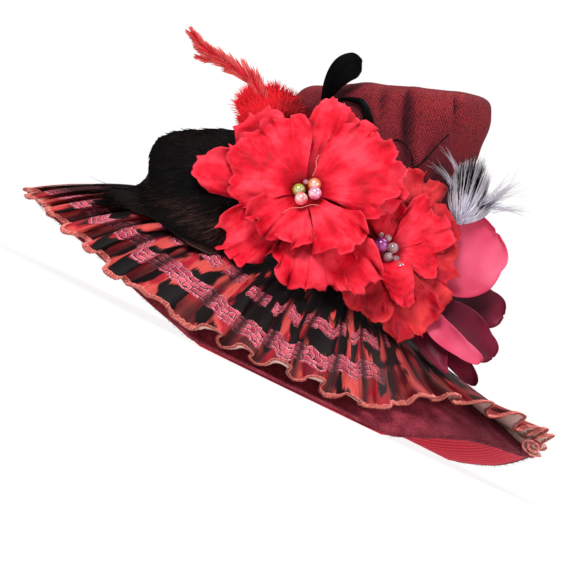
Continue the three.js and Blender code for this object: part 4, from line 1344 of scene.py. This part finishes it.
def make_bead(node, material):
    """A bead round its own solid: smooth, or cut with flat facets"""
    is_cut = node in CUT_BEADS
    kind, slot = ("crystal", "clear_bead") if material == "crystal" else ("pearl", "pearl_bead")
    centre, width = box_middle(node)
    radius = width / 2
    rings, columns = (5, 8) if is_cut else (15, 24)
    heights = np.linspace(-1, 1, rings)[:, None]
    turns = around(columns)
    if is_cut:
        turns = turns + np.arange(rings)[:, None] * math.pi / columns
    lat = heights * math.pi / 2 * 0.93
    ball = stacked(np.cos(lat) * np.cos(turns), np.sin(lat), np.cos(lat) * np.sin(turns))
    aim = Vector((math.sin(radius * 40 + centre[0]), 0.4, math.cos(centre[2])))
    spin = np.array(aim.to_track_quat("Y", "Z").to_matrix())
    build = Build()
    build.add_tube((ball @ spin.T) * radius + centre)
    build.piece(node.replace("bead", kind), [material], [node], not is_cut)


# Stiff fine quills on the crown and loose threads on flower A, as lines of (along, up, out)

FINE_QUILLS = (
    {"name": "black_quill_3", "radius": 0.55, "material": "black_barbs", "slot": "black_feather",
     "line": [(92, 171, 66), (97, 174, 66), (103, 171, 66), (108, 163, 67), (109, 155, 68)]},
    {"name": "black_quill_4", "radius": 0.6, "material": "black_barbs", "slot": "black_feather",
     "line": [(110, 152, 63), (119, 160, 62), (127, 169, 61), (136.5, 179, 59)]},
)
LOOSE_THREADS = (
    {"name": "flower_a_thread_1", "radius": 0.3, "material": "coral_thread", "slot": "red_silk",
     "line": [(38.5, 158, 119.5), (36.5, 154, 121), (36.5, 149, 121), (34, 143, 119)]},
    {"name": "flower_a_thread_2", "radius": 0.3, "material": "coral_thread", "slot": "red_silk",
     "line": [(13, 117, 117.5), (18, 120, 119), (26, 120.5, 120.5), (33, 122.5, 121), (38, 122, 120)]},
)


def make_thread(thread):
    line = curve_through(in_bunch(*np.array(thread["line"]).T), 40)
    build = Build()
    build.add_tube(tube(line, thread["radius"], 5), share=0, tone=0.6)
    build.piece(thread["name"], [thread["material"]])


# The satin flower: its hub, and petals from the hub through a middle to a tip, as (along, up, out)

SATIN_HUB = (118, 59, 64)
HUB_RADIUS = 11
TIP_START = 0.76
SATIN_PETALS = (
    {"middle": (146, 87, 62), "tip": (172, 106, 58), "width": 62, "blunt": 0.55, "cup": 6, "face": "pink"},
    {"middle": (148, 55, 52), "tip": (178, 44, 50), "width": 36, "blunt": 0.7, "cup": 3, "face": "wine"},
    {"middle": (128, 33, 85), "tip": (157, 10, 88), "width": 17, "blunt": 0.9, "cup": 3, "face": "pink"},
    {"middle": (146, 35, 72), "tip": (167, 13, 77), "width": 30, "blunt": 0.8, "cup": 3, "face": "wine"},
    {"middle": (121, 22, 79), "tip": (126, -5, 88), "width": 23, "blunt": 0.8, "cup": 2, "face": "wine"},
    {"middle": (134, 21, 63), "tip": (152, -11, 69), "width": 26, "blunt": 0.8, "cup": 2, "face": "wine"},
)


def satin_face(shape, number):
    """A petal cupped across its width, and its field"""
    rows, columns = 44, 26
    hub, middle, tip = (np.array(place, float) for place in (SATIN_HUB, shape["middle"], shape["tip"]))
    foot = hub + unit(middle - hub) * (HUB_RADIUS + GAP)
    route = curve_through([foot, middle, tip], rows)
    headings = unit(np.gradient(route, axis=0))
    sideways = unit(stacked(-headings[:, 1], headings[:, 0], 0))
    share = down(rows)
    across = np.linspace(-1, 1, columns)[None, :]
    swell = np.sin(math.pi * np.minimum(share, TIP_START)) ** shape["blunt"]
    past = np.clip((share - TIP_START) / (1 - TIP_START), 0, 1)
    half_width = mix(3.5, shape["width"], swell) / 2 * np.sqrt(1.01 - past ** 2)
    places = route[:, None] + sideways[:, None] * (across * half_width)[..., None]
    flutter = 1.6 * np.sin(share * 15 + across * 3 + shape["width"]) * across ** 2
    soft = waves(stacked(across * half_width, share * 60, 0), 22, shape["width"]) * 0.9 * share
    bow = shape["cup"] * (1 - across ** 2) * swell + flutter * share + soft - PETAL_WALL
    grid = in_bunch(places[..., 0], places[..., 1], places[..., 2] - bow)
    return laid_over_ruffle(grid, 0.8 + 0.5 * number), stacked(across * 0.6, share, number)


def make_satin_flower():
    centre = box_middle("satin_hub")[0]
    turns = around(32)
    lat = np.linspace(-1, 1, 18)[:, None] * math.pi / 2 * 0.96
    folds = 1 + 0.05 * np.sin(turns * 7 + lat * 3)
    ball = stacked(np.cos(lat) * np.cos(turns) * folds, np.sin(lat), np.cos(lat) * np.sin(turns) * folds)
    build = Build()
    build.add_tube(ball * HUB_RADIUS * 0.98 + centre)
    build.piece("satin_hub_knot", ["satin_wine"], ["satin_hub"])
    for number, shape in enumerate(SATIN_PETALS):
        grid, field = satin_face(shape, number)
        node = f"satin_petal_{number + 1}"
        materials = [f"satin_{shape['face']}", "satin_wine"]
        make_petal(node + "_cloth", grid, field, materials, node)


# Feathers. A pad's slices lie along it, each from its top to its bottom in the trim's plane, with how far
# out both stand and how much it swells.

PAD_COLUMNS = ("along", "top", "bottom", "out_top", "out_bottom", "thick")
PAD_SLICES = np.array([
    (-112, 134, 131, 96, 98, 1),
    (-101, 135.5, 122, 86, 101, 2),
    (-92, 140, 112, 76, 104, 4),
    (-86.5, 146, 105, 68, 106, 6),
    (-85, 166, 101, 62, 108, 8),
    (-80, 176, 96, 60, 112, 8),
    (-72, 179.5, 89, 60, 118, 9),
    (-58, 182, 82, 60, 124, 9),
    (-44, 182, 77, 60, 125, 8),
    (-33, 183, 84, 60, 118, 8),
    (-22, 182, 98, 58, 102, 7),
    (-10, 178, 130, 56, 84, 5),
])
HACKLE_SLICES = np.array([
    (-19, 198, 188, 62, 64, 4),
    (-8, 207, 185, 58, 62, 8),
    (4, 211, 184, 54, 60, 9),
    (15, 210, 184, 49, 56, 8),
    (28, 204, 187, 43, 50, 5),
])
HACKLE_FOOT = (5, 177)
HACKLE_OUTLINE = {0: 28, 30: 33, 60: 35, 100: 40, 122: 41, 145: 30, 178: 23}
MARABOU_FOOT = (144, 113)
MARABOU_SHARES = (0, 0.15, 0.3, 0.45, 0.6, 0.75, 0.9, 1)
MARABOU_TIPS = np.array([
    (170, 128), (165, 138), (167, 150), (162, 160), (154, 163), (147, 158.5), (142, 155.5), (139, 140),
])
MARABOU_KINDS = (
    {"count": 1700, "reach": (0.5, 1), "start": (0, 0.25), "out": 64, "width": 0.7, "dark": 0},
    {"count": 420, "reach": (0.8, 1.06), "start": (0.3, 0.55), "out": 65, "width": 0.5, "dark": 1},
)
MARABOU_STRAYS = (
    {"count": 14, "begin": (139, 136), "middle": (134, 150), "tip": (119, 160), "size": 3.5, "dark": 1},
    {"count": 30, "begin": (140, 138), "middle": (137, 148), "tip": (125, 156), "size": 3, "dark": 0},
    {"count": 16, "begin": (142, 150), "middle": (140, 158), "tip": (133, 168), "size": 2.5, "dark": 0},
    {"count": 80, "begin": (163, 126), "middle": (172, 132), "tip": (186, 142), "size": 5, "dark": 0},
    {"count": 26, "begin": (168, 125), "middle": (182, 123), "tip": (195, 121), "size": 4, "dark": 0},
    {"count": 60, "begin": (160, 124), "middle": (166, 127), "tip": (173, 129), "size": 2.5, "dark": 1},
)
PLUMES = (
    {"name": "red_plume_feather", "nodes": ["red_plume"], "seed": 72, "count": 1150, "reach": 17, "slant": 17,
     "width": 1.5, "root": 1.05, "tip": 0.42, "spread": 0.4,
     "quill": [(2, 186, 60), (-3, 206, 60), (-10, 217, 60.5), (-20, 225, 61), (-33, 234, 61), (-43, 241, 61),
               (-53, 252, 61)]},
    {"name": "red_plume_fork", "nodes": [], "seed": 73, "count": 300, "reach": 8, "slant": 14,
     "width": 1.1, "root": 1, "tip": 0.5, "spread": 0.3,
     "quill": [(-22, 226, 60.6), (-33, 232, 60.6), (-42, 233.5, 60.6), (-49, 235.5, 60.6)]},
)
STRAPS = (
    {"node": "black_quill_1", "strands": 70, "seed": 81,
     "left": [(40, 190, 55), (41, 200, 56), (43.5, 217, 58.5), (49, 230, 60.5), (56.5, 237, 61),
              (66, 239, 61), (72.5, 234, 60)],
     "right": [(46, 190, 55), (48, 201, 56), (51.5, 208, 58.5), (57, 213.5, 60.5), (63, 218, 61),
               (68.5, 221, 61), (72, 226, 60)]},
    {"node": "black_quill_2", "strands": 16, "seed": 82,
     "left": [(46, 200.5, 57), (56, 205.7, 59.5), (66, 205.5, 63), (74.5, 202, 66.5), (79.5, 188, 69),
              (83, 176, 70), (84.5, 166, 70)],
     "right": [(46, 198.5, 57), (56, 203, 59.5), (65, 202, 63), (71, 198, 66.5), (73.5, 187, 69),
               (78, 176, 70), (81, 166, 70)]},
)


def pad_face(slices, along, up, side=0.7):
    """How far out a pad's face stands at a place in the trim's plane"""
    value = {name: np.interp(along, slices[:, 0], slices[:, k]) for k, name in enumerate(PAD_COLUMNS)}
    share = np.clip((value["top"] - up) / np.maximum(value["top"] - value["bottom"], 1), 0, 1)
    bow = value["thick"] * side * np.sin(math.pi * share)
    return mix(value["out_top"], value["out_bottom"], share) + bow


def pad_top(slices, along):
    return np.interp(along, slices[:, 0], slices[:, 1])


def pad_bottom(slices, along):
    return np.interp(along, slices[:, 0], slices[:, 2])


def pad_base(slices, shrink):
    """The points and faces of a cushion between a pad's front and back faces, a little smaller than its
    outline"""
    rows, columns = 34, 22
    alongs = np.linspace(slices[0, 0] + shrink, slices[-1, 0] - shrink, rows)[:, None]
    across = np.linspace(0, 1, columns)[None, :]
    ups = mix(pad_top(slices, alongs) - shrink, pad_bottom(slices, alongs) + shrink, across)
    alongs = np.broadcast_to(alongs, ups.shape)
    front = in_bunch(alongs, ups, pad_face(slices, alongs, ups) - 0.6)
    back = in_bunch(alongs, ups, pad_face(slices, alongs, ups, -0.3) - 0.8)
    return shell(laid_over_ruffle(front, 1.4), laid_over_ruffle(back, 0.6))[:2]


def barb_paths(rng, slices, roots, headings, lengths, steps, lift, bend, droop=0.0):
    """Barb paths that follow a pad's face: roots and headings lie in the trim's plane, (barbs, 2)"""
    shares = np.linspace(0, 1, steps)[None, :, None]
    across = np.stack([-headings[:, 1], headings[:, 0]], -1)
    curve = rng.normal(size=(len(roots), 1, 1)) * bend
    flat = roots[:, None] + headings[:, None] * lengths[:, None, None] * shares
    flat = flat + across[:, None] * curve * lengths[:, None, None] * shares ** 2
    rise = rng.uniform(0.2, 1, (len(roots), 1)) * lift
    shares = shares[..., 0]
    out = pad_face(slices, flat[..., 0], flat[..., 1]) + rise * shares ** 1.3 - droop * shares ** 2
    return in_bunch(flat[..., 0], flat[..., 1], out)


def facing_near(rng, paths, height, spread):
    """Where strands face: the near side, raised by a height, each strand turned a little"""
    turned = np.array([0, -1, height]) + rng.normal(size=(len(paths), 1, 3)) * spread
    return np.broadcast_to(turned, paths.shape)


def make_feather_pad():
    """Long sleek barbs that flow from the flower to the left, over a dark pad. The ones near its outline
    turn to follow it."""
    rng = np.random.default_rng(61)
    points, faces = pad_base(PAD_SLICES, 1.2)
    build = Build()
    build.add(points, faces, share=0, tone=rng.uniform(0, 0.3, len(points)))
    wanted = 4600
    along = rng.uniform(-108, -4, wanted * 2)
    top = pad_top(PAD_SLICES, along) - 0.5
    bottom = pad_bottom(PAD_SLICES, along)
    share = rng.random(wanted * 2)
    is_kept = rng.random(wanted * 2) < (top - bottom) / 105
    along, share, top, bottom = (values[is_kept][:wanted] for values in (along, share, top, bottom))
    roots = np.stack([along, mix(top, bottom, share)], -1)
    clump = waves(stacked(along, roots[:, 1], 0), 24, 62)
    angle = mix(24, -50, share) + clump * 24 + rng.normal(size=len(along)) * 3
    lengths = rng.uniform(12, 32, len(along))
    overshoot = rng.uniform(0, 1, len(along)) ** 2 * 12
    for trim in range(9):
        headings = np.stack([-np.cos(np.radians(angle)), np.sin(np.radians(angle))], -1)
        reach = headings * lengths[:, None]
        tips = roots + reach
        over = np.zeros(len(along))
        for spot in (tips, roots + reach / 2):
            over = np.maximum(over, spot[:, 1] - pad_top(PAD_SLICES, spot[:, 0]))
        under = pad_bottom(PAD_SLICES, tips[:, 0]) - tips[:, 1] - overshoot
        angle = np.where(over > 0.3, angle - 13, angle)
        is_outside = (over > 0.3) | (under > 0) | (tips[:, 0] < -113)
        lengths = np.where(is_outside, lengths * 0.86, lengths)
    paths = barb_paths(rng, PAD_SLICES, roots, headings, lengths, 5, lift=0.9, bend=0.04)
    paths = laid_over_ruffle(paths, 1.2)
    # Painted sheen: the lower barbs and their clumps turn towards the lighter brown tip colour
    low = smooth(150, 100, roots[:, 1])
    tones = 0.06 + 0.42 * low + (0.1 + 0.5 * low) * clump + rng.normal(size=len(along)) * 0.15
    facing = facing_near(rng, paths, 0.2, 0.14)
    widths = rng.uniform(0.8, 1.7, len(along))
    build.add_strands(paths, facing, widths, 0.2, (0.7, 1, 0.95, 0.6, 0.1), np.clip(tones, 0, 1))
    build.piece("feather_pad_barbs", ["black_barbs"], ["feather_pad"])


def make_wisps():
    """Loose barbs past the pad's left end, lying over the ruffle's ridge, and as many over the print below"""
    rng = np.random.default_rng(63)
    count = 620
    left = np.stack([rng.uniform(-104, -76, count), rng.uniform(112, 136, count)], -1)
    low_along = rng.uniform(-98, -36, count)
    low_up = pad_bottom(PAD_SLICES, low_along) + rng.uniform(1, 14, count)
    roots = np.concatenate([left, np.stack([low_along, low_up], -1)])
    tuft = waves(stacked(low_along, low_up, 0), 9, 64) * 22
    angle = np.radians(np.concatenate([rng.normal(2, 6, count), rng.normal(30, 8, count) + tuft]))
    headings = np.stack([-np.cos(angle), -np.sin(angle)], -1)
    lengths = np.concatenate([rng.uniform(12, 32, count), rng.uniform(10, 30, count)])
    paths = barb_paths(rng, PAD_SLICES, roots, headings, lengths, 5, lift=1.5, bend=0.12, droop=6)
    paths = laid_over_ruffle(paths, 0.8)
    build = Build()
    facing = facing_near(rng, paths, 0.3, 0.4)
    widths = rng.uniform(0.4, 1.0, len(paths))
    build.add_strands(paths, facing, widths, 0.15, (0.8, 1, 0.8, 0.45, 0.1), rng.random(len(paths)) * 0.5)
    build.piece("feather_pad_wisps", ["black_barbs"])


def make_hackle_pad():
    """A fluffy red mass that bursts from its foot, with a ragged outline and painted shade on the frayed
    barbs of its right"""
    rng = np.random.default_rng(71)
    build = Build()
    build.add(*pad_base(HACKLE_SLICES, 4), share=0.2, tone=0.8)
    count = 3000
    turn = rng.uniform(4, 178, count)
    tufts = np.abs(np.sin(np.radians(turn * 7.3))) * 4 + np.abs(np.sin(np.radians(turn * 3.1 + 40))) * 4
    outline = np.interp(turn, tuple(HACKLE_OUTLINE), tuple(HACKLE_OUTLINE.values())) + tufts - 4
    ahead = np.radians(turn)
    start = rng.uniform(0.05, 0.8, count) * outline
    roots = np.array(HACKLE_FOOT) + np.stack([np.cos(ahead), np.sin(ahead)], -1) * start[:, None]
    heading = ahead + np.radians(rng.normal(size=count) * 11) + 0.25 * np.sin(start * 0.3 + turn * 0.1)
    heading = heading + 0.5 * (math.radians(118) - ahead) * smooth(60, 110, turn)
    headings = np.stack([np.cos(heading), np.sin(heading)], -1)
    lengths = np.clip(outline - start, 0, 22) * rng.uniform(0.55, 1.05, count) + 1.5
    paths = barb_paths(rng, HACKLE_SLICES, roots, headings, lengths, 4, lift=4, bend=0.2)
    # Painted shade: barbs on the right, and their outer ends, turn towards the shaded colour
    bright = mix(0.05, 0.95, smooth(35, 92, turn))
    fray = smooth(0.8, 1.0, start / outline + 0.2) * smooth(150, 60, turn) * 0.35
    tones = np.clip(bright - fray + rng.normal(size=count) * 0.12, 0, 1)
    facing = facing_near(rng, paths, 0.2, 0.3)
    widths = rng.uniform(0.6, 1.4, count)
    build.add_strands(paths, facing, widths, 0.2, (1, 1, 0.65, 0.12), tones)
    build.piece("red_hackle_barbs", ["red_barbs"], ["red_hackle_pad"])


def make_plume(plume):
    """A tapered quill with barbs on both sides, in clumps"""
    count = plume["count"]
    rng = np.random.default_rng(plume["seed"])
    line = curve_through(plume["quill"], 60)
    share = np.linspace(0, 1, len(line))
    build = Build()
    spine = in_bunch(line[:, 0], line[:, 1], line[:, 2])
    build.add_tube(tube(spine, mix(1, 0.25, share), 6), share=0, tone=0.3)
    places = np.sort(rng.uniform(0.03, 0.995, count))
    sides = np.where(rng.random(count) < 0.5, -1, 1)
    spots = np.stack([np.interp(places, share, line[:, k]) for k in range(3)], -1)
    slopes = np.gradient(line, axis=0)
    slope = unit(np.stack([np.interp(places, share, slopes[:, k]) for k in range(2)], -1))
    clump = np.sin(places * 47 + sides) * 0.5 + np.sin(places * 103 + 2 * sides) * 0.5
    angle = np.radians(plume["slant"] + clump * 7 + rng.normal(size=count) * 3) * sides
    headings = np.stack([
        slope[:, 0] * np.cos(angle) - slope[:, 1] * np.sin(angle),
        slope[:, 0] * np.sin(angle) + slope[:, 1] * np.cos(angle),
    ], -1)
    shape = np.interp(places, (0, 0.25, 0.75, 1), (plume["root"] * 0.6, plume["root"], 0.8, plume["tip"]))
    lengths = plume["reach"] * shape * rng.uniform(0.8, 1.05, count)
    along = np.linspace(0, 1, 5)[None, :, None]
    flat = spots[:, None, :2] + headings[:, None] * lengths[:, None, None] * along
    flat = flat + slope[:, None] * (0.1 * lengths)[:, None, None] * along ** 2
    along = along[..., 0]
    depth = spots[:, None, 2] + rng.normal(size=(count, 1)) * plume["spread"] * along + along ** 2
    paths = in_bunch(flat[..., 0], flat[..., 1], depth)
    facing = facing_near(rng, paths, 0.1, 0.25)
    tones = np.clip(0.5 + 0.35 * clump + rng.normal(size=count) * 0.15, 0, 1)
    build.add_strands(paths, facing, plume["width"], 0.16, (1, 1, 0.9, 0.6, 0.12), tones)
    build.piece(plume["name"], ["plume_barbs"], plume["nodes"])


def make_strap(strap):
    """A sleek feather of strands that run its whole length between a left and a right edge"""
    strands = strap["strands"]
    rng = np.random.default_rng(strap["seed"])
    steps = 26
    left, right = curve_through(strap["left"], steps), curve_through(strap["right"], steps)
    share = np.linspace(0, 1, strands)[:, None, None]
    paths = mix(left[None], right[None], share)
    paths[..., 2] += 1.6 * np.sin(math.pi * share[..., 0]) + rng.uniform(-0.15, 0.15, (strands, 1))
    stop = 1 - 0.05 * rng.random(strands) ** 2
    spots = np.arange(steps)
    for strand in range(strands):
        for k in range(3):
            paths[strand, :, k] = np.interp(spots * stop[strand], spots, paths[strand, :, k])
    paths = in_bunch(paths[..., 0], paths[..., 1], paths[..., 2])
    wide = np.linalg.norm(right[:, :2] - left[:, :2], axis=1)
    taper = np.interp(np.linspace(0, 1, steps), (0, 0.96, 1), (1, 1, 0.3))
    profile = np.clip(wide / wide.max(), 0.3, 1) * taper
    facing = facing_near(rng, paths, 0.1, 0.2)
    build = Build()
    width = 2.4 * wide.max() / strands
    build.add_strands(paths, facing, width, 0.25, profile, rng.random(strands) * 0.8)
    build.piece(strap["node"] + "_feather", ["black_quill_barbs"], [strap["node"]])


def make_marabou():
    """A tuft that fans out from its foot like an open hand: pale strands, dark ones in streaks over its
    upper half, and fine hairs that stray to both sides"""
    rng = np.random.default_rng(91)
    build = Build()
    steps = np.linspace(0, 1, 6)[None, :, None]
    profile = (1, 1, 0.95, 0.75, 0.5, 0.12)
    for kind in MARABOU_KINDS:
        share = rng.beta(1.15, 1.1, kind["count"])
        if kind["dark"]:
            streak = np.sin(share * 34) + np.sin(share * 61 + 1) + 2.2 * np.exp(-((share - 0.55) / 0.2) ** 2)
            share = share[streak > 0.9]
        count = len(share)
        tip = np.stack([np.interp(share, MARABOU_SHARES, MARABOU_TIPS[:, k]) for k in range(2)], -1)
        tip = tip + rng.normal(size=(count, 2)) * 1.2
        begin = np.array(MARABOU_FOOT) + rng.normal(size=(count, 2)) * (1.4, 1.0)
        across = unit(np.stack([tip[:, 1] - begin[:, 1], begin[:, 0] - tip[:, 0]], -1))
        middle = (begin + tip) / 2 + across * (mix(9, -5, share) + rng.normal(size=count) * 1.2)[:, None]
        start = rng.uniform(*kind["start"], count)[:, None, None]
        reach = rng.uniform(*kind["reach"], count)[:, None, None]
        places = start + (reach - start) * steps
        flat = arc_through(begin[:, None], middle[:, None], tip[:, None], places)
        places = places[..., 0]
        depth = kind["out"] + rng.normal(size=(count, 1)) * 1.3 - 8 * places + 4 * places ** 2
        paths = in_bunch(flat[..., 0], flat[..., 1], depth)
        facing = facing_near(rng, paths, 0, 0.25)
        tones = rng.uniform(0.7, 1, count)
        build.add_strands(paths, facing, kind["width"], 0.18, profile, tones, kind["dark"])
    for stray in MARABOU_STRAYS:
        count = stray["count"]
        places = steps * rng.uniform(0.6, 1.1, (count, 1, 1))
        begin, middle, tip = (
            np.array(stray[key]) + rng.normal(size=(count, 1, 2)) * stray["size"] * size
            for key, size in (("begin", 0.5), ("middle", 0.7), ("tip", 1))
        )
        flat = arc_through(begin, middle, tip, places)
        paths = in_bunch(flat[..., 0], flat[..., 1], 62 + rng.normal(size=(count, 1)))
        facing = facing_near(rng, paths, 0, 0.3)
        build.add_strands(paths, facing, 0.28, 0.18, profile, rng.uniform(0.6, 1, count), stray["dark"])
    build.piece("grey_marabou_barbs", ["grey_barbs", "black_quill_barbs"], ["grey_marabou"])


def make_feathers():
    make_feather_pad()
    make_wisps()
    make_hackle_pad()
    for plume in PLUMES:
        make_plume(plume)
    for strap in STRAPS:
        make_strap(strap)
    for quill in FINE_QUILLS:
        make_thread(quill)
    make_marabou()


# Floor, light and background

def make_floor():
    """A pale floor that fades into the background far from the hat"""
    paint = Paint("floor_paper", roughness=0.9, base_color=(250, 249, 248))
    far = paint.node("VectorMath", {0: paint.place()}, operation="LENGTH").outputs["Value"]
    glow = paint.node("Emission", {"Color": (1, 1, 1, 1), "Strength": 1.0})
    share = paint.calc("MAXIMUM", paint.band(far, *FLOOR_FADE), FLOOR_GLOW)
    both = paint.node("MixShader", {0: share, 1: paint.shader.outputs[0], 2: glow.outputs[0]})
    paint.tree.links.new(both.outputs[0], paint.tree.nodes["Material Output"].inputs["Surface"])
    mesh = bpy.data.meshes.new("floor")
    sides = ((-1, -1), (1, -1), (1, 1), (-1, 1))
    mesh.from_pydata([(x * FLOOR_HALF, y * FLOOR_HALF, -FLOOR_DROP) for x, y in sides], [], [(0, 1, 2, 3)])
    mesh.materials.append(paint.material)
    floor = bpy.data.objects.new("floor", mesh)
    bpy.context.scene.collection.objects.link(floor)


def make_lights():
    for light in LIGHTS:
        data = bpy.data.lights.new(light["name"], "AREA")
        data.shape = "DISK"
        data.size = light["size"]
        data.energy = light["power"]
        made = bpy.data.objects.new(light["name"], data)
        made.location = light["place"]
        aim = Vector(LIGHT_AIM) - Vector(light["place"])
        made.rotation_euler = aim.to_track_quat("-Z", "Y").to_euler()
        bpy.context.scene.collection.objects.link(made)


def make_world():
    """A white background that is seen at full strength and lights the hat at a lower one"""
    world = bpy.data.worlds.new("studio")
    bpy.context.scene.world = world
    world.use_nodes = True
    tree = world.node_tree
    background = tree.nodes["Background"]
    seen = tree.nodes.new("ShaderNodeLightPath")
    strength = tree.nodes.new("ShaderNodeMapRange")
    tree.links.new(seen.outputs["Is Camera Ray"], strength.inputs["Value"])
    strength.inputs["To Min"].default_value = AMBIENT
    strength.inputs["To Max"].default_value = 1.0
    tree.links.new(strength.outputs["Result"], background.inputs["Strength"])
    background.inputs["Color"].default_value = (1, 1, 1, 1)


make_floor()
make_lights()
make_world()
bpy.context.scene.view_settings.view_transform = "Standard"

make_crown()
make_brim()
make_fuzz()
make_lining()
make_ruffle()
make_hem_roll()
make_flowers()
for node, material in BEADS.items():
    make_bead(node, material)
make_satin_flower()
make_feathers()
for thread in LOOSE_THREADS:
    make_thread(thread)
